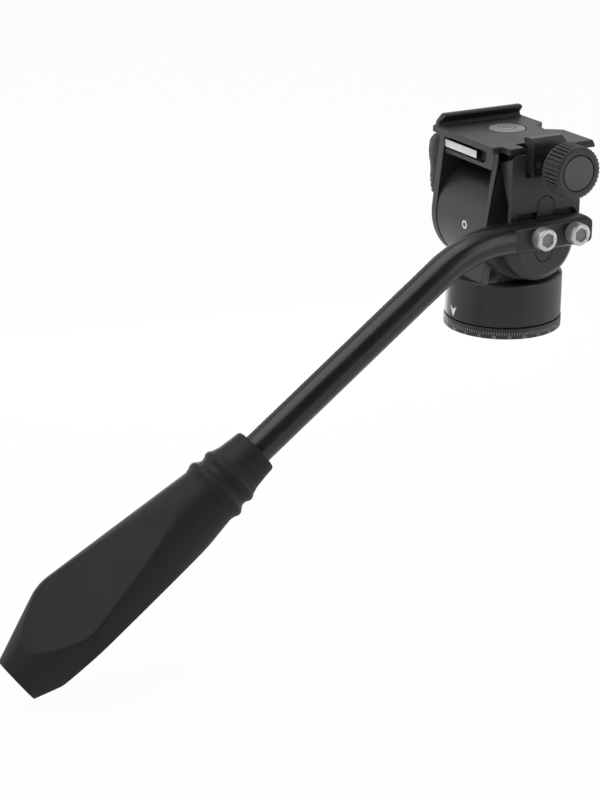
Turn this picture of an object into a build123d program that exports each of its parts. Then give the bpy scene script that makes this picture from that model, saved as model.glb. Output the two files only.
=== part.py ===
"""Compact fluid video head: tripod base with a degree scale, panning drum,
tilting frame with a dovetail clamp on top, and a bent handle with a rubber grip.

Millimetres, +Z up. The origin is the centre of the base's underside, on the pan
axis. +Y is where the camera looks, +X is the operator's right, so the tilt axis
runs along X and the clamp's jaw closes along X.
"""
from build123d import *
from math import acos, atan2, cos, hypot, pi, radians, sin, tan
import os

# Base and pan
base_r = 23.0            # tripod base and scale ring
scale_h = 4.15           # height of the scale ring
seam_gap = 0.3           # open line between the ring and the part that pans
scale_wall = 4.5         # ring's width
pan_step = 0.15          # how much less the panning cylinder's radius is than the ring's
pan_top_z = 21.5         # its upper rim
rim_chamfer = 0.4
base_plate_t = 3.4       # plate inside the scale ring
socket_r = 3.97          # inner wall of a 3/8-16 tripod thread
socket_depth = 10.0
insert_r = 5.2           # steel insert that carries the tripod thread
shaft_r = 6.5            # pan spindle
thread_r = 5.0           # spindle's threaded top
brake_wall = 2.0         # wall on the spindle that the pan lock presses
brake_h = 8.5
brake_share = 0.696      # that wall's radius, as a share of the base's
flange_t = 1.6
washer_t = 1.0
running = 0.05           # radial play of a shaft in its bush
face_gap = 0.1           # play between flat faces that turn on each other
shaft_room = 0.3         # room round a shaft where nothing bears
cavity_share = 0.8043    # radius of the panning cylinder's hollow, as a share of the base's
web_low_z = 14.5         # ceiling of its hollow
web_t = 4.5
bush_wall = 2.0
nut_r = 8.0
nut_t = 4.5
nut_room = 1.5           # room for a socket wrench round the nut
neck_half_low = 19.0     # neck between panning cylinder and drum, along Y
neck_half_high = 12.0
neck_high_z = 33.0

# Pan lock
pan_lock_z = 10.4
pan_lock_screw_r = 2.0
pan_pad_half = 2.8
pan_knob_r = 5.0
pan_knob_len = 7.5
pan_knob_gap = 1.2
pan_knob_lobes = 14
pan_knob_lobe = 0.5

# Tilt drum
tilt_z = 43.0            # height of the tilt axis
drum_r = 20.8
drum_left_x = -16.7
drum_right_x = 14.7
drum_bore_r = 16.5
cap_t = 4.0
axle_r = 5.0
rotor_r = 14.0
rotor_half = 6.0
sleeve_half = 7.5
sleeve_gap = 0.1

# Tilting frame
cheek_r = 21.0
cheek_left_out_x = -20.4
cheek_left_in_x = -17.0
cheek_right_in_x = 15.0
cheek_right_out_x = 18.0
frame_top_z = 73.9
frame_half = 17.5        # half depth of the frame along Y at its top
bridge_low_z = 66.4      # underside of the bridge over the drum
wall_out_x = 26.6        # outer face of the side wall that carries the handle
wall_half = 15.7
wall_in_x = 22.4
wall_bevel = 0.9
boss_foot_half = 15.2     # round lower end of the side wall
boss_foot_z = 38.5
boss_foot_y = 0.3
boss_edge = 3.2          # chamfer round the lower end
boss_side_z = 49.0
hollow_top_z = 69.4      # hollow between right cheek and side wall
hollow_low_z = 40.5
hollow_depth = 8.0
gusset_low_z = 53.0
gusset_t = 4.4
nook_left_x = 14.9       # dark nook under the plate, at the bridge's right end
nook_low_x = 18.9
nook_low_z = 70.0
nook_depth = 5.0
groove_top_z = 51.2      # long recess behind the handle's flat end
groove_low_z = 37.6
groove_depth = 2.0
groove_rear_y = -14.8
groove_front_y = 14.0
groove_corner_r = 2.5
pad_half = 3.7           # stadium-shaped pad that the handle is bolted to
pad_height = 25.6
pad_z = 44.15
pad_seam = 0.12

# Strip on the bridge
strip_left_x = -18.1
strip_right_x = 4.7
strip_low_z = 68.75
strip_high_z = 71.6
strip_t = 2.3
slot_left_x = -17.7      # lower left corner of the slot, from which it slants up
slot_left_z = 71.2
slot_right_x = 11.6
slot_corner = 1.5
slot_low_z = 68.1
slot_depth = 2.4

# Dovetail clamp
plate_top_z = 76.4
plate_left_x = -21.9
plate_right_x = 25.2
plate_rear_y = -20.3
plate_front_y = 19.8
corner_x = 20.1          # rectangular notch, rear right
corner_y = -16.1
notch_mid_x = 1.1        # trapezoid notch, front edge
notch_mouth_half = 7.0
notch_floor_half = 3.0
notch_depth = 5.5
ear_x = 28.6             # front right ear of the plate
ear_y = 9.6
ear_edge = 1.3
rail_rear_y = -19.6
rail_front_y = 18.8
rail_left_x = -21.5
rail_width = 6.2
rail_height = 5.4        # over the plate
rail_front_lean = 2.3    # how far its ends slant inwards over its height
rail_rear_lean = 1.1
# outline of the fixed rail, as shares of its width and height
rail_shares = [(0.0, 0.0), (0.06, 0.38), (0.5, 0.96), (0.62, 1.0), (0.93, 0.98),
               (1.0, 0.84), (0.9, 0.74), (0.42, 0.30), (0.42, 0.0)]
pocket_in_x = 19.2       # pocket in the plate that the jaw slides in
pocket_rear_y = -9.6
pocket_front_y = 9.0
jaw_travel = 6.5
jaw_rear_y = -9.3
jaw_front_y = 8.5
jaw_top_front_y = 3.6    # the hook's front end, at its top and at its root
jaw_root_front_y = 6.3
# the jaw at its open end of travel
jaw_in_x = 26.5
jaw_out_x = 30.4
jaw_low_z = 65.5
jaw_low_edge = 1.1
jaw_corner_r = 2.0
jaw_over_plate = 0.5     # the hook's root over the plate
jaw_hook_width = 6.9     # hook, from the jaw's outer face inwards
jaw_hook_height = 3.6
# outline of the hook from its root inside to its outer face, as shares of its width and height
hook_shares = [(0.333, 0.083), (0.03, 0.66), (0.05, 0.8), (0.29, 0.98), (0.8, 1.0), (0.95, 0.83),
               (1.0, 0.45)]
jaw_panel_depth = 1.2
jaw_panel_rim = 1.2
jaw_panel_foot = 0.8     # rim under the panel
jaw_room = 0.4
screw_z = 70.1           # clamp screw and its knob
screw_r = 2.5
screw_tip_x = 8.6
screw_stop = 1.0
neck_r = 3.6
knob_r = 9.8
knob_rib = 0.55
knob_ribs = 36
rib_shares = (0.1, 0.3, 0.7, 0.9)    # foot, crest, crest and foot of a rib, as shares of its pitch
knob_in_x = 36.5
knob_out_x = 46.4
knob_edge = 0.7
cap_r = 6.65
cap_depth = 1.2
cap_seam = 0.15
pin_r = 1.2
pin_y = 6.0
pin_tip_x = 15.0

# Round level
level_x = -4.3
level_y = 2.3
level_r = 7.5
level_depth = 2.2
level_rim = 0.5
level_glass_t = 1.0

# Tilt lock lever
lever_in_x = -22.2
lever_hub_r = 8.5
lever_hub_out_x = -27.0
lever_tip_y = -12.6
lever_tip_z = 68.2
lever_tip_r = 4.9
lever_heel_y = -13.6
lever_heel_z = 51.6
lever_heel_r = 3.8
lever_out_x = -32.4      # the finger's furthest reach
# outline of the finger seen from behind, from its tip down to the hub, as shares of its
# reach from the frame and of its height over the tilt axis
finger_shares = [(0.313, 1.0), (0.616, 0.944), (0.899, 0.817), (1.0, 0.724), (0.96, 0.631),
                 (0.828, 0.532), (0.828, 0.432), (0.879, 0.365), (0.818, 0.266), (0.677, 0.193)]
finger_foot_share = 0.153
lever_stud_r = 2.5
lever_stud_tip_x = -12.5
lever_cap_r = 4.6
lever_cap_t = 1.0

# Handle
bar_x = 30.8             # middle plane of the handle
bar_z = 44.0
bar_r = 6.0
bar_front_y = 16.0
bar_flat_half = 4.2      # from the middle plane to the milled flats
bar_flat_rear_y = -19.1
bar_end_r = 4.6
bend_start_y = -21.85
bend_r = 46.3
bend_angle = 35.8        # how far the handle slopes down, in degrees
bar_bore_r = 4.2
bolt_pitch = 15.0
bolt_r = 2.5
bolt_tip_x = 20.4
bolt_head_r = 4.2
bolt_head_h = 4.7
bolt_edge = 0.5
bolt_hex_across = 4.8
bolt_hex_depth = 2.4

# Grip
grip_start_z = -19.9     # height of the handle's axis where the grip begins
grip_sleeve = 60.0       # how far the tube runs into the grip
facet_count = 3
facet_dist = 12.9        # flat facets, measured from the grip's axis at half its length
facet_tilt = 0.3         # how they close in towards the end, in degrees
grip_len = 117.4
grip_r = 19.4            # at its widest
# profile of the grip, as shares of its length and of its widest radius
collar_shares = [(0.0, 0.443), (0.005, 0.461), (0.034, 0.477), (0.077, 0.51), (0.097, 0.552)]
rib_low_shares = [(0.106, 0.585), (0.114, 0.598), (0.123, 0.588), (0.131, 0.562)]
rib_high_shares = [(0.139, 0.552), (0.148, 0.564), (0.16, 0.613), (0.172, 0.649), (0.182, 0.637),
                   (0.193, 0.611), (0.204, 0.598)]
body_shares = [(0.76, 1.0), (1.0, 0.464)]
grip_shoulder_r = 20.0
grip_end_edge = 0.5
overrun = 1.0            # how far a cut runs past the faces it opens

# Derived lengths
pan_r = base_r - pan_step
cavity_r = base_r * cavity_share
brake_r = base_r * brake_share
pan_pad_t = cavity_r - brake_r - face_gap - shaft_room
pan_low_z = scale_h + seam_gap
flange_top_z = base_plate_t + flange_t
washer_top_z = flange_top_z + washer_t
web_top_z = web_low_z + web_t
bush_r = shaft_r + running
bush_out_r = bush_r + bush_wall
nut_low_z = web_top_z + washer_t
nut_top_z = nut_low_z + nut_t
plate_t = plate_top_z - frame_top_z
jaw_under_z = plate_top_z + jaw_over_plate
jaw_top_z = jaw_under_z + jaw_hook_height
jaw_panel_x = jaw_out_x - jaw_panel_depth
knob_mid_x = (knob_in_x + knob_out_x) / 2
drum_mid_x = (drum_left_x + drum_right_x) / 2
drum_width = drum_right_x - drum_left_x
pan_knob_in_x = -pan_r - pan_knob_gap
pan_pad_out_x = -brake_r - face_gap - pan_pad_t
lever_top_z = lever_tip_z + lever_tip_r
bar_flat_out_x = bar_x + bar_flat_half
bend_rad = radians(bend_angle)
along = (0.0, -cos(bend_rad), -sin(bend_rad))       # down the straight part
bend_end_y = bend_start_y - bend_r * sin(bend_rad)
bend_end_z = bar_z - bend_r * (1.0 - cos(bend_rad))
straight_to_grip = (bend_end_z - grip_start_z) / sin(bend_rad)
grip_start_y = bend_end_y - straight_to_grip * cos(bend_rad)
grip_origin = (bar_x, grip_start_y, grip_start_z)
grip_plane = Plane(origin=grip_origin, x_dir=(1, 0, 0), z_dir=along)

os.makedirs("parts", exist_ok=True)


def level_plane(z):
    """Sketch plane at a height."""
    return Plane.XY.offset(z)


def side_plane(x):
    """Sketch plane across the tilt axis: its x is Y and its y is Z."""
    return Plane.YZ.offset(x)


def tangent_points(half, height, radius):
    """Where the straight edges from (half, height) meet a circle round the centre."""
    reach = hypot(half, height)
    turn = atan2(height, half) - acos(radius / reach)
    return radius * cos(turn), radius * sin(turn)


def ribbed_outline(radius, depth, count, centre_z):
    """Closed outline of a round knob with evenly spaced grip ribs."""
    points = []
    pitch = 2 * pi / count
    for step in range(count):
        for share, size in zip(rib_shares, (radius - depth, radius, radius, radius - depth)):
            turn = pitch * (step + share)
            points.append((size * cos(turn), centre_z + size * sin(turn)))
    points.append(points[0])
    return points


# Tripod base
with BuildPart() as scale_ring:
    with BuildSketch(level_plane(0)):
        Circle(base_r)
        Circle(base_r - scale_wall, mode=Mode.SUBTRACT)
    extrude(amount=scale_h)
    rims = scale_ring.edges().filter_by(GeomType.CIRCLE).filter_by(
        lambda e: e.radius > base_r - rim_chamfer)
    chamfer(rims, rim_chamfer)

with BuildPart() as base_plate:
    with BuildSketch(level_plane(0)):
        Circle(base_r - scale_wall)
        Circle(shaft_r, mode=Mode.SUBTRACT)
    extrude(amount=base_plate_t)

with BuildPart() as pan_spindle:
    with BuildSketch(level_plane(0)):
        Circle(shaft_r)
    extrude(amount=web_top_z)
    with BuildSketch(level_plane(web_top_z)):
        Circle(thread_r)
    extrude(amount=nut_top_z + washer_t - web_top_z)
    with BuildSketch(level_plane(base_plate_t)):
        Circle(brake_r)
    extrude(amount=flange_t)
    with BuildSketch(level_plane(flange_top_z)):
        Circle(brake_r)
        Circle(brake_r - brake_wall, mode=Mode.SUBTRACT)
    extrude(amount=brake_h)
    with BuildSketch(level_plane(0)):
        Circle(insert_r)
    extrude(amount=socket_depth, mode=Mode.SUBTRACT)

with BuildPart() as thread_insert:
    with BuildSketch(level_plane(0)):
        Circle(insert_r)
        Circle(socket_r, mode=Mode.SUBTRACT)
    extrude(amount=socket_depth)

with BuildPart() as thrust_washer:
    with BuildSketch(level_plane(flange_top_z)):
        Circle(brake_r - brake_wall - shaft_room)
        Circle(shaft_r, mode=Mode.SUBTRACT)
    extrude(amount=washer_t)

with BuildPart() as spindle_washer:
    with BuildSketch(level_plane(web_top_z + face_gap)):
        Circle(nut_r)
        Circle(thread_r, mode=Mode.SUBTRACT)
    extrude(amount=washer_t - face_gap)

with BuildPart() as spindle_nut:
    with BuildSketch(level_plane(nut_low_z)):
        RegularPolygon(nut_r, 6)
        Circle(thread_r, mode=Mode.SUBTRACT)
    extrude(amount=nut_t)


# Panning housing
with BuildPart() as pan_housing:
    with BuildSketch(level_plane(pan_low_z)):
        Circle(pan_r)
    extrude(amount=pan_top_z - pan_low_z)
    rims = pan_housing.edges().filter_by(GeomType.CIRCLE)
    chamfer(rims, rim_chamfer)
    # neck: wide on the panning cylinder, narrow inside the drum
    with BuildSketch(level_plane(pan_top_z - rim_chamfer)):
        with Locations((drum_mid_x, 0)):
            Rectangle(drum_width, neck_half_low + neck_half_low)
        Circle(pan_r - rim_chamfer, mode=Mode.INTERSECT)
    with BuildSketch(level_plane(neck_high_z)):
        with Locations((drum_mid_x, 0)):
            Rectangle(drum_width, neck_half_high + neck_half_high)
        Circle(pan_r - rim_chamfer, mode=Mode.INTERSECT)
    loft()
    # drum: a level barrel round the tilt axis
    with BuildSketch(side_plane(drum_left_x)):
        with Locations((0, tilt_z)):
            Circle(drum_r)
    extrude(amount=drum_width)
    with BuildSketch(side_plane(drum_left_x)):
        with Locations((0, tilt_z)):
            Circle(drum_bore_r)
    extrude(amount=drum_width, mode=Mode.SUBTRACT)
    # hollow for the spindle, from below and from the drum
    with BuildSketch(level_plane(pan_low_z)):
        Circle(cavity_r)
    extrude(amount=web_low_z - pan_low_z, mode=Mode.SUBTRACT)
    with BuildSketch(level_plane(web_low_z)):
        Circle(bush_out_r)
    extrude(amount=web_t, mode=Mode.SUBTRACT)
    with BuildSketch(level_plane(web_top_z)):
        Circle(nut_r + nut_room)
    extrude(amount=tilt_z - web_top_z, mode=Mode.SUBTRACT)
    # pan lock screw's bore through the wall
    with BuildSketch(side_plane(-pan_r - overrun)):
        with Locations((0, pan_lock_z)):
            Circle(pan_lock_screw_r + running)
    extrude(amount=pan_r + overrun - cavity_r + overrun, mode=Mode.SUBTRACT)

with BuildPart() as pan_bush:
    with BuildSketch(level_plane(web_low_z)):
        Circle(bush_out_r)
        Circle(bush_r, mode=Mode.SUBTRACT)
    extrude(amount=web_t)

with BuildPart() as pan_drag_ring:
    with BuildSketch(level_plane(washer_top_z + face_gap)):
        Circle(brake_r - brake_wall - shaft_room)
        Circle(bush_r + shaft_room, mode=Mode.SUBTRACT)
    extrude(amount=web_low_z - washer_top_z - face_gap)


# Pan lock
with BuildPart() as pan_lock_pad:
    with BuildSketch(side_plane(pan_pad_out_x)):
        with Locations((0, pan_lock_z)):
            Rectangle(pan_pad_half * 2, pan_pad_half * 2)
    extrude(amount=pan_pad_t)
    with BuildSketch(level_plane(0)):
        Circle(brake_r + face_gap)
    extrude(amount=web_low_z, mode=Mode.SUBTRACT)

with BuildPart() as pan_lock_screw:
    with BuildSketch(side_plane(pan_knob_in_x - pan_knob_len / 2)):
        with Locations((0, pan_lock_z)):
            Circle(pan_lock_screw_r)
    extrude(amount=pan_pad_out_x - face_gap - pan_knob_in_x + pan_knob_len / 2)

with BuildPart() as pan_lock_knob:
    with BuildSketch(side_plane(pan_knob_in_x - pan_knob_len)):
        with BuildLine():
            Polyline(ribbed_outline(pan_knob_r, pan_knob_lobe, pan_knob_lobes, pan_lock_z))
        make_face()
    extrude(amount=pan_knob_len)
    with BuildSketch(side_plane(pan_knob_in_x - pan_knob_len / 2)):
        with Locations((0, pan_lock_z)):
            Circle(pan_lock_screw_r)
    extrude(amount=pan_knob_len, mode=Mode.SUBTRACT)


# Inside the drum: tilt drag
def cap_for_drum(from_x):
    """Disc in the drum's end, bored for its bush."""
    with BuildPart() as cap:
        with BuildSketch(side_plane(from_x)):
            with Locations((0, tilt_z)):
                Circle(drum_bore_r)
                Circle(axle_r + running + bush_wall, mode=Mode.SUBTRACT)
        extrude(amount=cap_t)
    return cap.part


def bush_for_drum(from_x):
    """Bronze bush in a drum cap."""
    with BuildPart() as bush:
        with BuildSketch(side_plane(from_x)):
            with Locations((0, tilt_z)):
                Circle(axle_r + running + bush_wall)
                Circle(axle_r + running, mode=Mode.SUBTRACT)
        extrude(amount=cap_t)
    return bush.part


with BuildPart() as drum_caps:
    add(cap_for_drum(drum_left_x))
    add(cap_for_drum(drum_right_x - cap_t))

with BuildPart() as axle_bushes:
    add(bush_for_drum(drum_left_x))
    add(bush_for_drum(drum_right_x - cap_t))

with BuildPart() as tilt_axle:
    with BuildSketch(side_plane(cheek_left_out_x)):
        with Locations((0, tilt_z)):
            Circle(axle_r)
    extrude(amount=cheek_right_out_x - cheek_left_out_x)
    with BuildSketch(side_plane(cheek_left_out_x)):
        with Locations((0, tilt_z)):
            Circle(lever_stud_r + running)
    extrude(amount=lever_stud_tip_x + face_gap - cheek_left_out_x, mode=Mode.SUBTRACT)

with BuildPart() as tilt_rotor:
    with BuildSketch(side_plane(drum_mid_x - rotor_half)):
        with Locations((0, tilt_z)):
            Circle(rotor_r)
            Circle(axle_r, mode=Mode.SUBTRACT)
    extrude(amount=rotor_half * 2)

with BuildPart() as drag_sleeve:
    with BuildSketch(side_plane(drum_mid_x - sleeve_half)):
        with Locations((0, tilt_z)):
            Circle(drum_bore_r)
            Circle(rotor_r + sleeve_gap, mode=Mode.SUBTRACT)
    extrude(amount=sleeve_half * 2)


# Tilting frame
def wall_points():
    """Side wall outline: straight sides above, a narrower round end below."""
    return [(boss_foot_y - boss_foot_half, boss_foot_z), (-wall_half, boss_side_z),
            (-wall_half, frame_top_z), (wall_half, frame_top_z), (wall_half, boss_side_z),
            (boss_foot_y + boss_foot_half, boss_foot_z)]


side_y, side_z = tangent_points(frame_half, frame_top_z - tilt_z, cheek_r)
side_z = side_z + tilt_z

with BuildPart() as yoke:
    for near_x, far_x in ((cheek_left_out_x, cheek_left_in_x),
                          (cheek_right_in_x, cheek_right_out_x)):
        with BuildSketch(side_plane(near_x)):
            with BuildLine():
                Polyline((-side_y, side_z), (-frame_half, frame_top_z), (frame_half, frame_top_z),
                         (side_y, side_z))
                ThreePointArc((side_y, side_z), (0, tilt_z - cheek_r), (-side_y, side_z))
            make_face()
        extrude(amount=far_x - near_x)
    # bridge over the drum
    with BuildSketch(side_plane(cheek_left_out_x)):
        with Locations((0, (bridge_low_z + frame_top_z) / 2)):
            Rectangle(frame_half * 2, frame_top_z - bridge_low_z)
    extrude(amount=cheek_right_out_x - cheek_left_out_x)
    # side wall on the right, which carries the handle
    with BuildSketch(side_plane(cheek_right_out_x)):
        with BuildLine():
            foot = wall_points()
            Polyline(foot)
            ThreePointArc(foot[-1], (boss_foot_y, boss_foot_z - boss_foot_half), foot[0])
        make_face()
    extrude(amount=wall_out_x - cheek_right_out_x)
    low_rim = yoke.faces().sort_by(Axis.X)[-1].edges().filter_by(
        lambda e: e.center().Z < boss_side_z - boss_edge)
    chamfer(low_rim, boss_edge)
    # hollow at the rear between right cheek and side wall
    with BuildSketch(Plane.XZ.offset(wall_half + frame_half)):
        with Locations(((cheek_right_out_x + wall_in_x) / 2, (hollow_top_z + hollow_low_z) / 2)):
            Rectangle(wall_in_x - cheek_right_out_x, hollow_top_z - hollow_low_z)
    extrude(amount=-(frame_half + hollow_depth), mode=Mode.SUBTRACT)
    with BuildSketch(Plane.XZ.offset(wall_half)):
        with BuildLine():
            Polyline((cheek_right_out_x, hollow_top_z), (wall_in_x, hollow_top_z),
                     (wall_in_x, gusset_low_z), (cheek_right_out_x, hollow_top_z))
        make_face()
    extrude(amount=-gusset_t)
    # bevel down the side wall's outer rear edge
    with BuildSketch(level_plane(boss_foot_z)):
        with BuildLine():
            Polyline((wall_out_x - wall_bevel, -wall_half), (wall_out_x, -wall_half),
                     (wall_out_x, -wall_half + wall_bevel), (wall_out_x - wall_bevel, -wall_half))
        make_face()
    extrude(amount=frame_top_z - boss_foot_z, mode=Mode.SUBTRACT)
    # nook under the plate at the bridge's right end
    with BuildSketch(Plane.XZ.offset(frame_half)):
        with BuildLine():
            Polyline((nook_left_x, frame_top_z), (nook_low_x, nook_low_z), (plate_right_x, frame_top_z),
                     (nook_left_x, frame_top_z))
        make_face()
    extrude(amount=-nook_depth, mode=Mode.SUBTRACT)
    # long recess behind the handle
    with BuildSketch(side_plane(wall_out_x - groove_depth)):
        with Locations(((groove_rear_y + groove_front_y) / 2, (groove_low_z + groove_top_z) / 2)):
            RectangleRounded(groove_front_y - groove_rear_y, groove_top_z - groove_low_z, groove_corner_r)
    extrude(amount=groove_depth + overrun, mode=Mode.SUBTRACT)
    # seat of the stadium-shaped pad
    with BuildSketch(side_plane(wall_out_x - groove_depth * 2)):
        with Locations((0, pad_z)):
            SlotOverall(pad_height + pad_seam, pad_half * 2 + pad_seam, rotation=90)
    extrude(amount=groove_depth * 2 + overrun, mode=Mode.SUBTRACT)
    # pocket for the clamp's jaw
    with BuildSketch(side_plane(wall_out_x - jaw_travel - jaw_room)):
        with BuildLine():
            Polyline((pocket_rear_y, frame_top_z), (pocket_rear_y, jaw_low_z - jaw_room),
                     (pocket_front_y, jaw_low_z - jaw_room), (pocket_front_y, frame_top_z),
                     (pocket_rear_y, frame_top_z))
        make_face()
    extrude(amount=jaw_travel + jaw_room + overrun, mode=Mode.SUBTRACT)
    # bores: axle, clamp screw, guide pins, handle bolts
    with BuildSketch(side_plane(cheek_left_out_x)):
        with Locations((0, tilt_z)):
            Circle(axle_r)
    extrude(amount=cheek_right_out_x - cheek_left_out_x, mode=Mode.SUBTRACT)
    with BuildSketch(side_plane(screw_tip_x - jaw_travel - screw_stop)):
        with Locations((0, screw_z)):
            Circle(screw_r + running)
    extrude(amount=wall_out_x - screw_tip_x + jaw_travel + screw_stop, mode=Mode.SUBTRACT)
    with BuildSketch(side_plane(pin_tip_x - jaw_travel - screw_stop)):
        with Locations((-pin_y, screw_z), (pin_y, screw_z)):
            Circle(pin_r + running)
    extrude(amount=wall_out_x - pin_tip_x + jaw_travel + screw_stop, mode=Mode.SUBTRACT)
    with BuildSketch(side_plane(bolt_tip_x)):
        with Locations((-bolt_pitch / 2, bar_z), (bolt_pitch / 2, bar_z)):
            Circle(bolt_r)
    extrude(amount=wall_out_x - bolt_tip_x, mode=Mode.SUBTRACT)
    # slot for the strip on the bridge's rear face, open to the plate above it
    with BuildSketch(Plane.XZ.offset(frame_half)):
        with BuildLine():
            Polyline((slot_right_x, frame_top_z), (slot_right_x, slot_low_z + slot_corner),
                     (slot_right_x - slot_corner, slot_low_z), (slot_left_x, slot_low_z),
                     (cheek_left_out_x - overrun, slot_left_z), (cheek_left_out_x - overrun, frame_top_z),
                     (slot_right_x, frame_top_z))
        make_face()
    extrude(amount=-slot_depth, mode=Mode.SUBTRACT)

with BuildPart() as handle_pad:
    with BuildSketch(side_plane(wall_out_x - groove_depth * 2)):
        with Locations((0, pad_z)):
            SlotOverall(pad_height - pad_seam, pad_half * 2 - pad_seam, rotation=90)
    extrude(amount=groove_depth * 2)
    with BuildSketch(side_plane(bolt_tip_x)):
        with Locations((-bolt_pitch / 2, bar_z), (bolt_pitch / 2, bar_z)):
            Circle(bolt_r)
    extrude(amount=wall_out_x - bolt_tip_x, mode=Mode.SUBTRACT)

with BuildPart() as name_strip:
    with BuildSketch(Plane.XZ.offset(frame_half - slot_depth + strip_t)):
        with Locations(((strip_left_x + strip_right_x) / 2, (strip_low_z + strip_high_z) / 2)):
            Rectangle(strip_right_x - strip_left_x, strip_high_z - strip_low_z)
    extrude(amount=-strip_t)


# Dovetail clamp
with BuildPart() as clamp_plate:
    with BuildSketch(level_plane(frame_top_z)):
        with BuildLine():
            Polyline((plate_left_x, plate_rear_y), (corner_x, plate_rear_y), (corner_x, corner_y),
                     (plate_right_x, corner_y), (plate_right_x, ear_y), (ear_x, ear_y + plate_t),
                     (ear_x, plate_front_y),
                     (notch_mid_x + notch_mouth_half, plate_front_y),
                     (notch_mid_x + notch_floor_half, plate_front_y - notch_depth),
                     (notch_mid_x - notch_floor_half, plate_front_y - notch_depth),
                     (notch_mid_x - notch_mouth_half, plate_front_y),
                     (plate_left_x, plate_front_y), (plate_left_x, plate_rear_y))
        make_face()
    extrude(amount=plate_t)
    ear_top = clamp_plate.faces().sort_by(Axis.Z)[-1].edges().filter_by(
        lambda e: e.center().X > ear_x - running)
    chamfer(ear_top, ear_edge)
    # fixed rail with its dovetail flank
    with BuildSketch(Plane.XZ.offset(-rail_rear_y)):
        with BuildLine():
            rail = [(rail_left_x + x_share * rail_width, plate_top_z + z_share * rail_height)
                    for x_share, z_share in rail_shares]
            Polyline(rail + [rail[0]])
        make_face()
    extrude(amount=-(rail_front_y - rail_rear_y))
    # its ends slant inwards
    rail_top_z = plate_top_z + rail_height
    for end_y, top_y, past_y in ((rail_front_y, rail_front_y - rail_front_lean, plate_front_y),
                                 (rail_rear_y, rail_rear_y + rail_rear_lean, plate_rear_y)):
        with BuildSketch(side_plane(plate_left_x)):
            with BuildLine():
                Polyline((end_y, plate_top_z), (top_y, rail_top_z), (past_y, rail_top_z),
                         (past_y, plate_top_z), (end_y, plate_top_z))
            make_face()
        extrude(amount=rail_left_x + rail_width - plate_left_x, mode=Mode.SUBTRACT)
    # pocket for the jaw
    with BuildSketch(level_plane(frame_top_z)):
        with BuildLine():
            Polyline((pocket_in_x, pocket_rear_y), (plate_right_x + overrun, pocket_rear_y),
                     (plate_right_x + overrun, pocket_front_y), (pocket_in_x, pocket_front_y),
                     (pocket_in_x, pocket_rear_y))
        make_face()
    extrude(amount=plate_t, mode=Mode.SUBTRACT)
    # seat of the round level
    with BuildSketch(level_plane(plate_top_z - level_depth)):
        with Locations((level_x, level_y)):
            Circle(level_r)
    extrude(amount=level_depth, mode=Mode.SUBTRACT)

with BuildPart() as level_cup:
    with BuildSketch(level_plane(plate_top_z - level_depth)):
        with Locations((level_x, level_y)):
            Circle(level_r)
    extrude(amount=level_depth)
    with BuildSketch(level_plane(plate_top_z - level_glass_t)):
        with Locations((level_x, level_y)):
            Circle(level_r - level_rim)
    extrude(amount=level_glass_t, mode=Mode.SUBTRACT)

with BuildPart() as level_glass:
    with BuildSketch(level_plane(plate_top_z - level_glass_t)):
        with Locations((level_x, level_y)):
            Circle(level_r - level_rim)
    extrude(amount=level_glass_t)

with BuildPart() as movable_jaw:
    with BuildSketch(Plane.XZ.offset(-jaw_rear_y)):
        with BuildLine():
            hook = [(jaw_out_x - jaw_hook_width * (1 - x_share), jaw_under_z + jaw_hook_height * z_share)
                    for x_share, z_share in hook_shares]
            Polyline([(jaw_in_x, jaw_low_z + jaw_low_edge), (jaw_in_x, jaw_under_z)] + hook
                     + [(jaw_out_x, jaw_low_z + jaw_low_edge), (jaw_out_x - jaw_low_edge, jaw_low_z),
                        (jaw_in_x + jaw_low_edge, jaw_low_z), (jaw_in_x, jaw_low_z + jaw_low_edge)])
        make_face()
    extrude(amount=-(jaw_front_y - jaw_rear_y))
    # rounded lower corners
    with BuildSketch(side_plane(pocket_in_x)):
        with Locations(((jaw_rear_y + jaw_front_y) / 2, jaw_top_z)):
            RectangleRounded(jaw_front_y - jaw_rear_y, (jaw_top_z - jaw_low_z) * 2, jaw_corner_r)
    extrude(amount=knob_in_x - pocket_in_x, mode=Mode.INTERSECT)
    # the hook's front end slopes down
    with BuildSketch(side_plane(pocket_in_x)):
        with BuildLine():
            Polyline((jaw_top_front_y, jaw_top_z + overrun), (jaw_front_y + overrun, jaw_top_z + overrun),
                     (jaw_front_y + overrun, jaw_under_z), (jaw_root_front_y, jaw_under_z),
                     (jaw_top_front_y, jaw_top_z + overrun))
        make_face()
    extrude(amount=knob_in_x - pocket_in_x, mode=Mode.SUBTRACT)
    # sunk panel round the knob's neck
    with BuildSketch(side_plane(jaw_panel_x)):
        with BuildLine():
            Polyline((jaw_rear_y + jaw_panel_rim, jaw_low_z + jaw_panel_foot),
                     (jaw_front_y - jaw_panel_rim, jaw_low_z + jaw_panel_foot),
                     (jaw_front_y - jaw_panel_rim, jaw_under_z), (jaw_rear_y + jaw_panel_rim, jaw_under_z),
                     (jaw_rear_y + jaw_panel_rim, jaw_low_z + jaw_panel_foot))
        make_face()
    extrude(amount=jaw_panel_depth + overrun, mode=Mode.SUBTRACT)
    with BuildSketch(side_plane(pocket_in_x)):
        with Locations((0, screw_z)):
            Circle(screw_r + running)
        with Locations((-pin_y, screw_z), (pin_y, screw_z)):
            Circle(pin_r)
    extrude(amount=knob_in_x - pocket_in_x, mode=Mode.SUBTRACT)

with BuildPart() as jaw_pins:
    with BuildSketch(side_plane(pin_tip_x)):
        with Locations((-pin_y, screw_z), (pin_y, screw_z)):
            Circle(pin_r)
    extrude(amount=jaw_panel_x - pin_tip_x)

with BuildPart() as clamp_screw:
    with BuildSketch(side_plane(screw_tip_x)):
        with Locations((0, screw_z)):
            Circle(screw_r)
    extrude(amount=knob_mid_x - screw_tip_x)

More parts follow.
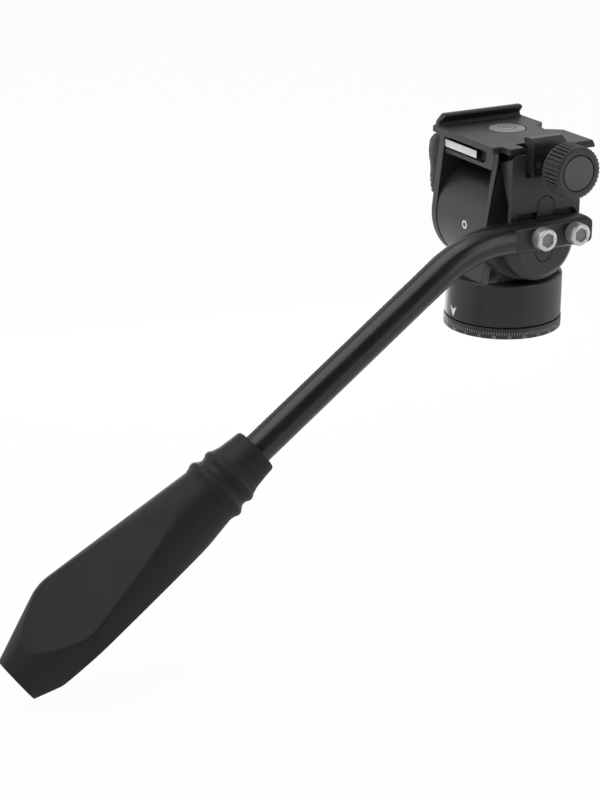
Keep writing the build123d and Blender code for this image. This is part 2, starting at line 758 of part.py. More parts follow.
with BuildPart() as clamp_knob:
    with BuildSketch(side_plane(knob_in_x)):
        with BuildLine():
            Polyline(ribbed_outline(knob_r, knob_rib, knob_ribs, screw_z))
        make_face()
    extrude(amount=knob_out_x - knob_in_x)
    # bevelled face and heel
    with BuildSketch(Plane.XZ):
        with BuildLine():
            Polyline((knob_in_x, screw_z), (knob_in_x, screw_z + knob_r - knob_edge),
                     (knob_in_x + knob_edge, screw_z + knob_r), (knob_out_x - knob_edge, screw_z + knob_r),
                     (knob_out_x, screw_z + knob_r - knob_edge * 2), (knob_out_x, screw_z),
                     (knob_in_x, screw_z))
        make_face()
    revolve(axis=Axis((0, 0, screw_z), (1, 0, 0)), mode=Mode.INTERSECT)
    with BuildSketch(side_plane(jaw_panel_x + face_gap)):
        with Locations((0, screw_z)):
            Circle(neck_r)
    extrude(amount=knob_in_x - jaw_panel_x)
    with BuildSketch(side_plane(jaw_panel_x)):
        with Locations((0, screw_z)):
            Circle(screw_r)
    extrude(amount=knob_mid_x - jaw_panel_x, mode=Mode.SUBTRACT)
    with BuildSketch(side_plane(knob_out_x - cap_depth)):
        with Locations((0, screw_z)):
            Circle(cap_r + cap_seam)
    extrude(amount=cap_depth, mode=Mode.SUBTRACT)

with BuildPart() as knob_cap:
    with BuildSketch(side_plane(knob_out_x - cap_depth)):
        with Locations((0, screw_z)):
            Circle(cap_r)
    extrude(amount=cap_depth)


# Tilt lock lever
with BuildPart() as lock_lever:
    with BuildSketch(side_plane(lever_out_x)):
        with BuildLine():
            ThreePointArc((lever_hub_r, tilt_z), (0, tilt_z - lever_hub_r), (-lever_hub_r, tilt_z))
            Polyline((-lever_hub_r, tilt_z), (lever_heel_y - lever_heel_r, lever_heel_z),
                     (lever_tip_y - lever_tip_r, lever_tip_z))
            ThreePointArc((lever_tip_y - lever_tip_r, lever_tip_z), (lever_tip_y, lever_tip_z + lever_tip_r),
                          (lever_tip_y + lever_tip_r, lever_tip_z))
            Line((lever_tip_y + lever_tip_r, lever_tip_z), (lever_hub_r, tilt_z))
        make_face()
    extrude(amount=lever_in_x - lever_out_x)
    with BuildSketch(Plane.XZ.offset(-lever_hub_r)):
        with BuildLine():
            finger = [(lever_in_x + (lever_out_x - lever_in_x) * x_share,
                       tilt_z + (lever_top_z - tilt_z) * z_share) for x_share, z_share in finger_shares]
            finger_foot_z = tilt_z + (lever_top_z - tilt_z) * finger_foot_share
            Polyline([(lever_in_x, lever_top_z)] + finger
                     + [(lever_hub_out_x, finger_foot_z), (lever_hub_out_x, tilt_z - lever_hub_r),
                        (lever_in_x, tilt_z - lever_hub_r), (lever_in_x, lever_top_z)])
        make_face()
    extrude(amount=lever_hub_r - lever_heel_y + lever_tip_r, mode=Mode.INTERSECT)
    with BuildSketch(side_plane(lever_hub_out_x)):
        with Locations((0, tilt_z)):
            Circle(lever_cap_r)
    extrude(amount=lever_cap_t, mode=Mode.SUBTRACT)
    with BuildSketch(side_plane(lever_hub_out_x + lever_cap_t)):
        with Locations((0, tilt_z)):
            Circle(lever_stud_r)
    extrude(amount=lever_in_x - lever_hub_out_x, mode=Mode.SUBTRACT)

with BuildPart() as lever_stud:
    with BuildSketch(side_plane(lever_hub_out_x + lever_cap_t)):
        with Locations((0, tilt_z)):
            Circle(lever_stud_r)
    extrude(amount=lever_stud_tip_x - lever_hub_out_x - lever_cap_t)

with BuildPart() as lever_cap:
    with BuildSketch(side_plane(lever_hub_out_x)):
        with Locations((0, tilt_z)):
            Circle(lever_cap_r)
    extrude(amount=lever_cap_t)


# Handle
def bar_path(front_y, tail):
    """Handle's axis: level at the head, one bend, then straight down to the grip."""
    mid = bend_rad / 2
    with BuildLine() as path:
        Line((bar_x, front_y, bar_z), (bar_x, bend_start_y, bar_z))
        ThreePointArc((bar_x, bend_start_y, bar_z),
                      (bar_x, bend_start_y - bend_r * sin(mid), bar_z - bend_r * (1.0 - cos(mid))),
                      (bar_x, bend_end_y, bend_end_z))
        Line((bar_x, bend_end_y, bend_end_z),
             (bar_x, bend_end_y + along[1] * tail, bend_end_z + along[2] * tail))
    return path.wires()[0]


tube_tail = straight_to_grip + grip_sleeve

with BuildPart() as handle_tube:
    with BuildSketch(Plane.XZ.offset(-bar_front_y)):
        with Locations((bar_x, bar_z)):
            Circle(bar_r)
    sweep(path=bar_path(bar_front_y, tube_tail))
    # bore of the tube, which stops short of the solid flat end
    with BuildSketch(Plane.XZ.offset(-bend_start_y)):
        with Locations((bar_x, bar_z)):
            Circle(bar_bore_r)
    sweep(path=bar_path(bend_start_y + overrun, tube_tail), mode=Mode.SUBTRACT)
    # milled flats on both sides of the end
    flat_mid_y = (bar_front_y + overrun + bar_flat_rear_y) / 2
    flat_len = bar_front_y + overrun - bar_flat_rear_y
    for side in (-1, 1):
        with BuildSketch(level_plane(bar_z - bar_r)):
            with Locations((bar_x + side * (bar_flat_half + bar_r / 2), flat_mid_y)):
                Rectangle(bar_r, flat_len)
        extrude(amount=bar_r * 2, mode=Mode.SUBTRACT)
    # rounded front end
    with BuildSketch(side_plane(bar_x - bar_r)):
        with Locations((bar_front_y - (bar_end_r - overrun) / 2, bar_z)):
            Rectangle(bar_end_r + overrun, bar_r * 2 + overrun)
        with Locations((bar_front_y - bar_r, bar_z)):
            RectangleRounded(bar_r * 2, bar_r * 2, bar_end_r, mode=Mode.SUBTRACT)
    extrude(amount=bar_r * 2, mode=Mode.SUBTRACT)
    with BuildSketch(side_plane(bar_x - bar_r)):
        with Locations((-bolt_pitch / 2, bar_z), (bolt_pitch / 2, bar_z)):
            Circle(bolt_r)
    extrude(amount=bar_r * 2, mode=Mode.SUBTRACT)


def one_bolt(at_y):
    """Socket-head bolt of the handle."""
    with BuildPart() as bolt:
        with BuildSketch(side_plane(bolt_tip_x)):
            with Locations((at_y, bar_z)):
                Circle(bolt_r)
        extrude(amount=bar_flat_out_x - bolt_tip_x)
        with BuildSketch(side_plane(bar_flat_out_x)):
            with Locations((at_y, bar_z)):
                Circle(bolt_head_r)
        extrude(amount=bolt_head_h)
        rim = bolt.faces().sort_by(Axis.X)[-1].edges()
        chamfer(rim, bolt_edge)
        with BuildSketch(side_plane(bar_flat_out_x + bolt_head_h - bolt_hex_depth)):
            with Locations((at_y, bar_z)):
                RegularPolygon(bolt_hex_across / 2, 6, major_radius=False)
        extrude(amount=bolt_hex_depth, mode=Mode.SUBTRACT)
    return bolt.part


with BuildPart() as handle_bolts:
    add(one_bolt(-bolt_pitch / 2))
    add(one_bolt(bolt_pitch / 2))


# Grip
grip_shares = collar_shares + rib_low_shares + rib_high_shares + body_shares

with BuildPart() as grip_upright:
    # swelling body with a collar and two ring ribs
    with BuildSketch(Plane.XZ):
        with BuildLine():
            Polyline([(0, 0)] + [(grip_r * r_share, grip_len * s_share) for s_share, r_share in grip_shares]
                     + [(0, grip_len), (0, 0)])
        make_face()
    revolve(axis=Axis.Z)
    shoulder = grip_upright.edges().filter_by(GeomType.CIRCLE).sort_by(lambda e: e.radius)[-1]
    fillet(shoulder, grip_shoulder_r)
    tail_edge = grip_upright.edges().filter_by(GeomType.CIRCLE).sort_by(Axis.Z)[-1]
    chamfer(tail_edge, grip_end_edge)
    # flat facets, which close in a little towards the end
    with BuildSketch(level_plane(-overrun)):
        RegularPolygon(facet_dist + tan(radians(facet_tilt)) * (grip_len / 2 + overrun), facet_count,
                       major_radius=False)
    extrude(amount=grip_len + overrun * 2, taper=facet_tilt, mode=Mode.INTERSECT)
    # bore for the tube
    with BuildSketch(Plane.XY):
        Circle(bar_r)
    extrude(amount=grip_sleeve, mode=Mode.SUBTRACT)

with BuildPart() as grip:
    add(grip_upright.part.moved(grip_plane.location))


pieces = {
    "scale_ring": scale_ring, "base_plate": base_plate, "pan_spindle": pan_spindle,
    "thread_insert": thread_insert, "thrust_washer": thrust_washer, "spindle_washer": spindle_washer,
    "spindle_nut": spindle_nut, "pan_housing": pan_housing, "pan_bush": pan_bush,
    "pan_drag_ring": pan_drag_ring, "pan_lock_pad": pan_lock_pad, "pan_lock_screw": pan_lock_screw,
    "pan_lock_knob": pan_lock_knob, "drum_caps": drum_caps, "axle_bushes": axle_bushes,
    "tilt_axle": tilt_axle, "tilt_rotor": tilt_rotor, "drag_sleeve": drag_sleeve, "yoke": yoke,
    "handle_pad": handle_pad, "name_strip": name_strip, "clamp_plate": clamp_plate,
    "level_cup": level_cup, "level_glass": level_glass, "movable_jaw": movable_jaw,
    "jaw_pins": jaw_pins, "clamp_screw": clamp_screw, "clamp_knob": clamp_knob, "knob_cap": knob_cap,
    "lock_lever": lock_lever, "lever_stud": lever_stud, "lever_cap": lever_cap,
    "handle_tube": handle_tube, "handle_bolts": handle_bolts, "grip": grip,
}

for label, piece in pieces.items():
    piece.part.label = label
    export_step(piece.part, f"parts/{label}.step")
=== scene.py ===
"""Looks of a compact fluid video head: rounded edges, finishes, printed marks, light and camera.

Shapes are worked out in millimetres in the CAD model's frame and scaled to metres when a mesh
is made. +Z is up, +Y is where a camera on the head looks, +X is the operator's right.
"""
from math import acos, atan2, cos, pi, radians, sin, tan, tau
import bmesh
import bpy
import numpy as np
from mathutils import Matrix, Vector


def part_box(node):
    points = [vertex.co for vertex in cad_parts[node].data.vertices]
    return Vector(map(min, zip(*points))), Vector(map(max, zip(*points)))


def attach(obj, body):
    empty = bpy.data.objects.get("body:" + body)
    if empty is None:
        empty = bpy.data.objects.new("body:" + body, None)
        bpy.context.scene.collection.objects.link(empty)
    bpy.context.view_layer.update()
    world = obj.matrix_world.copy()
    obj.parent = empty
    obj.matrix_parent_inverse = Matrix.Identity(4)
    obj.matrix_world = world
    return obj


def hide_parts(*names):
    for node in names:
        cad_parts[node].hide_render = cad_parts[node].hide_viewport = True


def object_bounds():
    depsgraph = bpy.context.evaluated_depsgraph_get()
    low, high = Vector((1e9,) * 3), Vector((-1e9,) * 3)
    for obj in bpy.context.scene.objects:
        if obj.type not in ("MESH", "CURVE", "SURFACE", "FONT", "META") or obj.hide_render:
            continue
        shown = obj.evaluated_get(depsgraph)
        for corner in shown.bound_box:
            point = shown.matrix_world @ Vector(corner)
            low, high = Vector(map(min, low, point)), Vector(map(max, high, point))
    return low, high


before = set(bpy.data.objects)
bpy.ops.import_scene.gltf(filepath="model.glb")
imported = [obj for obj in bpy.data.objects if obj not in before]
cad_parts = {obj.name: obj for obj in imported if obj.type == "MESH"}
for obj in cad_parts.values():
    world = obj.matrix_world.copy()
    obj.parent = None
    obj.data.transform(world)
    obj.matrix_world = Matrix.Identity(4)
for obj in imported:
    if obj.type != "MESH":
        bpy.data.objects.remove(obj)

cad_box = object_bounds()
MM = 0.001


def limits(node):
    """Lowest and highest corner of a CAD node, in mm."""
    low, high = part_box(node)
    return np.array(low) / MM, np.array(high) / MM


# Places read from the frame, in mm
ring_high = limits("scale_ring")[1]
socket_high = limits("thread_insert")[1]
cup_low, cup_high = limits("level_cup")
knob_low, knob_high = limits("clamp_knob")
cap_low, cap_high = limits("knob_cap")
tube_low, tube_high = limits("handle_tube")
bolts_low, bolts_high = limits("handle_bolts")
strip_low, strip_high = limits("name_strip")
lever_low, lever_high = limits("lock_lever")
screw_low, screw_high = limits("clamp_screw")

# Driving sizes that the frame's boxes don't give, in mm
plate_top_z = 76.4
tilt_z = 43.0
drum_r = 20.8
pan_r = 22.85
ring_wall = 4.5
socket_r = 3.97
socket_pitch = 1.5875
clamp_pitch = 0.8
bar_r = 6.0
bar_flat_half = 4.2
bar_flat_rear_y = -19.1
bar_end_r = 4.6
bend_start_y = -21.85
bend_r = 46.3
bend = radians(35.8)
grip_start_z = -19.9
grip_sleeve = 60.0
grip_len = 117.4
grip_r = 19.4
facet_dist = 12.9
facet_tilt = radians(0.3)
facet_angles = np.radians([60.0, 180.0, 300.0])


# Mesh tools

seam = 2e-7  # points nearer than this are one, in metres
speck = 1e-7  # edges shorter than this collapse
cad_seam = 1e-6  # the seam for the loose triangles of a CAD node
flat_turn = radians(0.6)  # faces that turn less than this become one
thread_rows = 8  # rows to a thread


def grid_faces(rows, columns, wrap):
    """Quads between neighbouring rows and columns; with wrap the last column meets the first."""
    row, column = np.meshgrid(np.arange(rows - 1), np.arange(columns if wrap else columns - 1),
                              indexing="ij")
    corner = row * columns + column
    beside = row * columns + (column + 1) % columns
    return np.stack([corner, beside, beside + columns, corner + columns], -1).reshape(-1, 4)


def piece(name, parts, material, body, nodes=(), sharp=38.0):
    """One mesh from surfaces given as (points, wrap, capped).

    points is rows x columns x 3 in mm, wrap joins the last column to the first, and capped
    closes the first and the last row.
    """
    verts = []
    faces = []
    start = 0
    for points, wrap, capped in parts:
        rows, columns = points.shape[:2]
        faces += (grid_faces(rows, columns, wrap) + start).tolist()
        if capped:
            faces.append(list(range(start, start + columns))[::-1])
            faces.append(list(range(start + (rows - 1) * columns, start + rows * columns)))
        verts.append(points.reshape(-1, 3))
        start += rows * columns
    mesh = bpy.data.meshes.new(name)
    mesh.from_pydata((np.concatenate(verts) * MM).tolist(), [], faces)
    close_up(mesh)
    return finished(name, mesh, material, body, nodes, sharp)


def close_up(mesh):
    """Merges seams and poles, drops collapsed faces and points the rest outwards."""
    work = bmesh.new()
    work.from_mesh(mesh)
    bmesh.ops.remove_doubles(work, verts=work.verts, dist=seam)
    bmesh.ops.dissolve_degenerate(work, edges=work.edges, dist=speck)
    bmesh.ops.recalc_face_normals(work, faces=work.faces)
    work.to_mesh(mesh)
    work.free()


def finished(name, mesh, material, body, nodes, sharp):
    """Puts a mesh in the scene, smooth but for edges over an angle, and ties it to its body."""
    mesh.shade_smooth()
    mesh.set_sharp_from_angle(angle=radians(sharp))
    thing = bpy.data.objects.new(name, mesh)
    bpy.context.scene.collection.objects.link(thing)
    mesh.materials.append(material)
    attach(thing, body)
    if nodes:
        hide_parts(*nodes)
    return thing


def places(mesh):
    """The places of a mesh's points, one to a row."""
    points = np.zeros(len(mesh.vertices) * 3, np.float32)
    mesh.vertices.foreach_get("co", points)
    return points.reshape(-1, 3)


def reshaped(mesh, reshape):
    """Moves a mesh's points by a function of their places in mm."""
    moved = reshape(places(mesh).astype(float) / MM) * MM
    mesh.vertices.foreach_set("co", moved.astype(np.float32).ravel())
    mesh.update()


def softened(node, edge, material, body, reshape=None, sharp=30.0):
    """Merged copy of a CAD node whose edges over an angle get a small round, edge mm wide."""
    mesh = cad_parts[node].data.copy()
    if reshape:
        reshaped(mesh, reshape)
    work = bmesh.new()
    work.from_mesh(mesh)
    bmesh.ops.remove_doubles(work, verts=work.verts, dist=cad_seam)
    bmesh.ops.dissolve_limit(work, angle_limit=flat_turn, verts=work.verts, edges=work.edges)
    many_sided = [face for face in work.faces if len(face.verts) > 4]
    bmesh.ops.triangulate(work, faces=many_sided, ngon_method="BEAUTY")
    work.to_mesh(mesh)
    work.free()
    mesh.materials.clear()
    thing = finished(node + "_finished", mesh, material, body, (node,), 180.0)
    round_over = thing.modifiers.new("Edges", "BEVEL")
    round_over.width = edge * MM
    round_over.segments = 2
    round_over.limit_method = "ANGLE"
    round_over.angle_limit = radians(sharp)
    round_over.use_clamp_overlap = False
    round_over.face_strength_mode = "FSTR_ALL"
    flatten = thing.modifiers.new("Flat faces stay flat", "WEIGHTED_NORMAL")
    flatten.mode = "FACE_AREA"
    flatten.weight = 50
    flatten.use_face_influence = True
    return thing


def turned(profile, start, direction, count=128):
    """Surface of revolution: each profile row (distance along, radius) becomes a ring of points."""
    axis = np.array(direction, float)
    axis /= np.linalg.norm(axis)
    side = np.cross(axis, (0, 0, 1) if abs(axis[2]) < 0.9 else (1, 0, 0))
    side /= np.linalg.norm(side)
    third = np.cross(axis, side)
    along, radius = np.array(profile, float).T
    turn = np.linspace(0, tau, count, endpoint=False)
    ring = np.cos(turn)[:, None] * side + np.sin(turn)[:, None] * third
    return np.array(start, float) + along[:, None, None] * axis + radius[:, None, None] * ring


def about_line(points, y, z, size):
    """Scales points in Y and Z about a line along X: foot + (point - foot) x size."""
    foot = np.array((0, y, z)) + points[..., :1] * (1, 0, 0)
    return foot + (points - foot) * size


def rounded(corners, radii, steps=5):
    """Open polyline with arcs at its corners: each arc's centre lies on the corner's bisector."""
    corners = np.array(corners, float)
    radii = np.broadcast_to(radii, len(corners))
    out = [corners[:1]]
    for before, corner, after, radius in zip(corners, corners[1:], corners[2:], radii[1:]):
        back = (before - corner) / np.linalg.norm(before - corner)
        ahead = (after - corner) / np.linalg.norm(after - corner)
        half = acos(np.clip(back @ ahead, -1, 1)) / 2
        if radius <= 0 or half > pi / 2 - 0.01:
            out.append(corner[None])
            continue
        middle = corner + (back + ahead) / np.linalg.norm(back + ahead) * radius / sin(half)
        first = corner + back * radius / tan(half) - middle
        last = corner + ahead * radius / tan(half) - middle
        sweep = pi - 2 * half
        share = np.linspace(0, 1, steps + 1)[:, None]
        out.append(middle + (np.sin((1 - share) * sweep) * first + np.sin(share * sweep) * last)
                   / sin(sweep))
    out.append(corners[-1:])
    return np.concatenate(out)


def closed_outline(corners, radii):
    """Closed outline with rounded corners, starting in the middle of its last edge."""
    corners = np.array(corners, float)
    start = (corners[0] + corners[-1]) / 2
    path = rounded(np.concatenate([[start], corners, [start]]),
                   np.concatenate([[0], np.broadcast_to(radii, len(corners)), [0]]))
    return path[:-1]


def across_y(outline, y):
    """Outline in X and Z at one Y."""
    return np.column_stack([outline[:, 0], np.full(len(outline), y), outline[:, 1]])


def slab(outline, low, high, edge, steps=4):
    """Closed outline in X and Z carried along Y from low to high, with rounded rims.

    Near each end the outline moves in along its normals by edge x (1 - sin a), and its place in
    Y by edge x (1 - cos a), for a from 0 to a right angle.
    """
    following = np.roll(outline, -1, 0)
    ahead = following - np.roll(outline, 1, 0)
    outwards = np.stack([ahead[:, 1], -ahead[:, 0]], -1)
    outwards /= np.linalg.norm(outwards, axis=1)[:, None]
    outwards *= np.sign(np.sum(outline[:, 0] * following[:, 1] - following[:, 0] * outline[:, 1]))
    a = np.linspace(0, pi / 2, steps + 1)
    along = edge * (1 - np.cos(a))
    inwards = edge * (1 - np.sin(a))
    ys = np.concatenate([low + along, (high - along)[::-1]])
    insets = np.concatenate([inwards, inwards[::-1]])
    rows = [across_y(outline - outwards * inset, y) for y, inset in zip(ys, insets)]
    return np.stack(rows), True, True


def threaded(radius, pitch, depth, start, length, direction, count=48):
    """Screw surface: the radius rises by depth x (1 + cos(turn - along / pitch)) / 2."""
    along = np.linspace(0, length, int(length / pitch * thread_rows))
    points = turned([(s, radius) for s in along], start, direction, count)
    centre = np.array(start, float) + along[:, None, None] * np.array(direction)
    turn = np.linspace(0, tau, count, endpoint=False)
    wave = depth * (1 + np.cos(turn[None] - tau * along[:, None] / pitch)) / 2
    return centre + (points - centre) * (1 + wave[..., None] / radius)


# Materials

blotch = 14.0  # size of the broad tone changes, in mm


def linear(code):
    """sRGB hex colour as linear RGBA."""
    shown = np.array([int(code[i:i + 2], 16) for i in (1, 3, 5)]) / 255
    value = np.where(shown <= 0.04045, shown / 12.92, ((shown + 0.055) / 1.055) ** 2.4)
    return (*value.tolist(), 1.0)


def add(tree, kind, sockets=None, **settings):
    """Adds a node with its settings; a socket gets a value, or a link if it is given an output."""
    node = tree.nodes.new(kind)
    for key, value in settings.items():
        setattr(node, key, value)
    for key, value in (sockets or {}).items():
        if isinstance(value, bpy.types.NodeSocket):
            tree.links.new(value, node.inputs[key])
        else:
            node.inputs[key].default_value = value
    return node


def surface(name, dark, light, rough, grain, relief, metallic=0.0, edge_wear_and_highlight=None,
            stretch=(1, 1, 1), coat=0.0, shine=0.5, painted_light_top=None):
    """A finish with grain, broad tone changes and paler edges: part wear, part painted edge
    highlight.

    dark and light are its two tones, rough its lowest and highest roughness, grain the grain's
    real size and relief its depth in mm, and stretch scales the grain along X, Y and Z.
    edge_wear_and_highlight gives the colour of paler edges, part wear and part painted edge
    highlight, and its share; painted_light_top gives the height in mm of a level face painted a
    paler colour as the light falling on it, and that colour.
    """
    material = bpy.data.materials.new(name)
    material.use_nodes = True
    tree = material.node_tree
    shader = tree.nodes["Principled BSDF"]
    where = add(tree, "ShaderNodeTexCoord").outputs["Object"]
    stretched = add(tree, "ShaderNodeMapping", {"Vector": where, "Scale": stretch}).outputs[0]
    fine = add(tree, "ShaderNodeTexNoise",
               {"Vector": stretched, "Scale": 1 / (grain * MM), "Detail": 3.0,
                "Roughness": 0.55}).outputs["Fac"]
    broad = add(tree, "ShaderNodeTexNoise",
                {"Vector": where, "Scale": 1 / (blotch * MM), "Detail": 2.0}).outputs["Fac"]
    mixed = add(tree, "ShaderNodeMath", {0: fine, 1: broad}, operation="MULTIPLY").outputs[0]
    share = add(tree, "ShaderNodeMapRange",
                {"Value": mixed, "From Min": 0.12, "From Max": 0.38}).outputs[0]
    tone = add(tree, "ShaderNodeMix", {"Factor": share, "A": linear(dark), "B": linear(light)},
               data_type="RGBA").outputs["Result"]
    # Painted light: a level face mixed a paler colour.
    if painted_light_top:
        tone = paint_light_on_face(tree, tone, *painted_light_top)
    # Paler edges: part wear, part painted edge highlight.
    if edge_wear_and_highlight:
        tone = mix_edge_wear_and_highlight(tree, tone, *edge_wear_and_highlight)
    tree.links.new(tone, shader.inputs["Base Color"])
    roughness = add(tree, "ShaderNodeMapRange",
                    {"Value": mixed, "From Min": 0.1, "From Max": 0.4, "To Min": rough[0],
                     "To Max": rough[1]}).outputs[0]
    tree.links.new(roughness, shader.inputs["Roughness"])
    bump = add(tree, "ShaderNodeBump", {"Height": fine, "Distance": relief * MM, "Strength": 1.0})
    tree.links.new(bump.outputs[0], shader.inputs["Normal"])
    shader.inputs["Metallic"].default_value = metallic
    shader.inputs["Coat Weight"].default_value = coat
    shader.inputs["Specular IOR Level"].default_value = shine
    return material


def paint_light_on_face(tree, tone, height, colour):
    """Mixes in a colour on the face at one height, fading from 0.05 to 0.15 mm off it: painted
    light on a top face.
    """
    where = add(tree, "ShaderNodeTexCoord").outputs["Object"]
    level = add(tree, "ShaderNodeSeparateXYZ", {0: where}).outputs["Z"]
    off = add(tree, "ShaderNodeMath", {0: level, 1: height * MM}, operation="SUBTRACT").outputs[0]
    away = add(tree, "ShaderNodeMath", {0: off}, operation="ABSOLUTE").outputs[0]
    share = add(tree, "ShaderNodeMapRange",
                {"Value": away, "From Min": 0.05 * MM, "From Max": 0.15 * MM, "To Min": 1.0,
                 "To Max": 0.0}).outputs[0]
    return add(tree, "ShaderNodeMix", {"Factor": share, "A": tone, "B": linear(colour)},
               data_type="RGBA").outputs["Result"]


def mix_edge_wear_and_highlight(tree, tone, colour, most):
    """Mixes in a colour where a normal rounded over 0.5 mm departs from the true one: at edges, as
    part wear and part painted edge highlight.
    """
    soft = add(tree, "ShaderNodeBevel", {"Radius": 0.5 * MM}, samples=4).outputs[0]
    true = add(tree, "ShaderNodeNewGeometry").outputs["Normal"]
    match = add(tree, "ShaderNodeVectorMath", {0: soft, 1: true},
                operation="DOT_PRODUCT").outputs["Value"]
    edge = add(tree, "ShaderNodeMapRange",
               {"Value": match, "From Min": 0.98, "From Max": 0.8, "To Min": 0.0,
                "To Max": most}).outputs[0]
    return add(tree, "ShaderNodeMix", {"Factor": edge, "A": tone, "B": linear(colour)},
               data_type="RGBA").outputs["Result"]


# Cast aluminium under a satin black coat: even, finely pebbled, a little paler at its edges: part
# wear, part painted edge highlight.
coated_casting = surface("Satin_black_coated_aluminium", "#29292a", "#2e2e2f", (0.42, 0.52),
                         0.5, 0.006, edge_wear_and_highlight=("#58585a", 0.45))
# The same coat on the clamp plate, painted darker than on the frame as shade; its top face is
# painted a shade paler as the light falling on it, and its edges paler: part wear, part painted
# edge highlight.
plate_coat_painted_light_and_shade = surface("Satin_black_coated_plate", "#1f1f20", "#242425", (0.42, 0.52),
                       0.5, 0.006, edge_wear_and_highlight=("#505051", 0.4), painted_light_top=(plate_top_z, "#3e3e3f"))
# The same coat, smoother and painted darker as shade, on the panning casting with its drum and on
# the jaw; paler edges: part wear, part painted edge highlight.
coat_painted_darker = surface("Satin_black_coated_drum", "#1e1e1f", "#232324", (0.34, 0.42),
                      0.5, 0.006, edge_wear_and_highlight=("#444445", 0.3))
# Drawn aluminium tube, black anodised: smooth, with faint lines along the tube, and paler edges:
# part wear, part painted edge highlight.
anodised_tube = surface("Black_anodised_tube", "#161617", "#1b1b1c", (0.25, 0.32),
                        0.45, 0.003, edge_wear_and_highlight=("#2c2c2d", 0.3), stretch=(1, 0.06, 0.09))
# Turned and anodised aluminium of the clamp knob: matt, the edges of its ribs paler: part wear,
# part painted edge highlight.
anodised_knob = surface("Black_anodised_knob", "#2b2b2c", "#313132", (0.42, 0.52),
                        0.5, 0.004, edge_wear_and_highlight=("#5a5a5b", 0.45))
# Bare turned aluminium inside the drum: bright, lined by the tool.
turned_aluminium = surface("Turned_aluminium", "#b9babc", "#c6c7c9", (0.28, 0.4),
                           0.4, 0.004, metallic=1.0, stretch=(6, 1, 1))
# Moulded rubber: dull, with a fine grain that softens every highlight; paler edges: part wear, part
# painted edge highlight.
moulded_rubber = surface("Moulded_black_rubber", "#141415", "#19191a", (0.52, 0.62),
                         0.45, 0.01, edge_wear_and_highlight=("#262627", 0.3), shine=0.3)
# Zinc-plated steel of screws and washers: grey and bright.
plated_steel = surface("Plated_steel", "#9a9b9c", "#b0b1b2", (0.25, 0.38),
                       0.4, 0.004, metallic=1.0)
# Polished stainless steel of the two socket bolts: pale, with soft highlights; paler edges: part
# wear, part painted edge highlight.
polished_stainless = surface("Polished_stainless_steel", "#c4c4c2", "#d2d2d0", (0.32, 0.4),
                             0.6, 0.002, metallic=0.75, edge_wear_and_highlight=("#dcdcda", 0.5))
# The pressed floor of their hexagon sockets: duller than the heads, and painted darker as the shade
# deep in a socket.
socket_shade_steel = surface("Socket_floor_painted_shade", "#7e7e7e", "#888888", (0.5, 0.6), 0.5, 0.004)
# Sintered bronze bushes: matt, slightly open.
sintered_bronze = surface("Sintered_bronze", "#8a6a3c", "#a07c48", (0.45, 0.6),
                          0.3, 0.01, metallic=1.0)
# Natural acetal of friction rings: milky and smooth.
acetal = surface("Natural_acetal", "#d6d4cc", "#e2e0d8", (0.35, 0.5), 0.6, 0.004)
# Moulded glass-filled nylon of the lock lever and the pan lock's knob: smooth, a little shiny;
# paler edges: part wear, part painted edge highlight.
moulded_nylon = surface("Moulded_black_nylon", "#2a2a2b", "#303131", (0.26, 0.34),
                        0.5, 0.006, edge_wear_and_highlight=("#5a5a5b", 0.4))
# Smooth grey caps of clamp knob and lever, a shade paler than what is round them.
cap_plastic = surface("Smooth_grey_cap", "#474748", "#4c4c4d", (0.42, 0.5), 0.6, 0.004)
# Pale plastic inlay on the bridge: even satin.
pale_inlay = surface("Pale_satin_inlay", "#ededed", "#f6f6f6", (0.35, 0.45), 0.6, 0.002)
# Dull dark backing of the inlay; on the drum the same dark stands as painted shade in the engraved
# line.
dark_backing_and_groove_shade = surface("Dark_backing_and_painted_groove_shade", "#161617", "#1a1a1b", (0.6, 0.7),
                       0.5, 0.004, shine=0.2)
# Grey domed face of the round level.
level_face = surface("Grey_level_face", "#868686", "#8e8e8e", (0.4, 0.5), 0.6, 0.002)
# Dark rim and ring mark of the level.
level_dark = surface("Dark_level_rim", "#2a2a2a", "#303030", (0.4, 0.5), 0.6, 0.002)
# Air bubble of the level: a shade paler and glossy.
level_bubble = surface("Level_bubble", "#9c9c9c", "#a4a4a4", (0.1, 0.15), 0.6, 0.001, coat=0.6)
# Screen-printed white ink: flat and matt.
white_print = surface("White_screen_print", "#e8e8e8", "#f2f2f2", (0.5, 0.6), 0.4, 0.002)
# The scale's thinner grey ink.
grey_print = surface("Grey_scale_print", "#a2a2a2", "#b0b0b0", (0.5, 0.6), 0.4, 0.002)


# Tripod base and panning part

ring_rounds = (0.2, 0.15, 0.2, 0.2)  # rims inside low, outside low, outside high, inside high
ring_columns = 192


def make_scale_ring():
    """Ring turned from a closed profile with rounded rims."""
    inner, outer, height = ring_high[0] - ring_wall, ring_high[0], ring_high[2]
    corners = [(0, inner), (0, outer), (height, outer), (height, inner)]
    profile = closed_outline(corners, ring_rounds)
    profile = np.concatenate([profile, profile[:1]])
    ring = turned(profile, (0, 0, 0), (0, 0, 1), ring_columns)
    piece("scale_ring_finished", [(ring, True, False)], coated_casting, "base",
          ("scale_ring",))


tick_step = 2.5  # degrees between ticks
tick_low_z = 1.55
tick_high_z = 2.75
tick_longer = 0.35  # how much lower the tick over a number reaches
tick_wide = 0.16
number_step = 15
number_shift = 18.8  # turn of the first number from the arrow, in degrees
number_size = 1.7
number_low_z = 0.1
print_proud = 0.02


def on_cylinder(across, up, radius, turn=0.0):
    """Wraps flat marks round the pan axis; turn 0 is straight behind."""
    angle = turn + across / radius
    return np.stack([radius * np.sin(angle), -radius * np.cos(angle), up + 0 * across], -1)


def on_drum(x, up, radius):
    """Wraps flat marks round the tilt axis; up 0 is straight behind."""
    angle = up / radius
    return np.stack([x, -radius * np.cos(angle), tilt_z + radius * np.sin(angle)], -1)


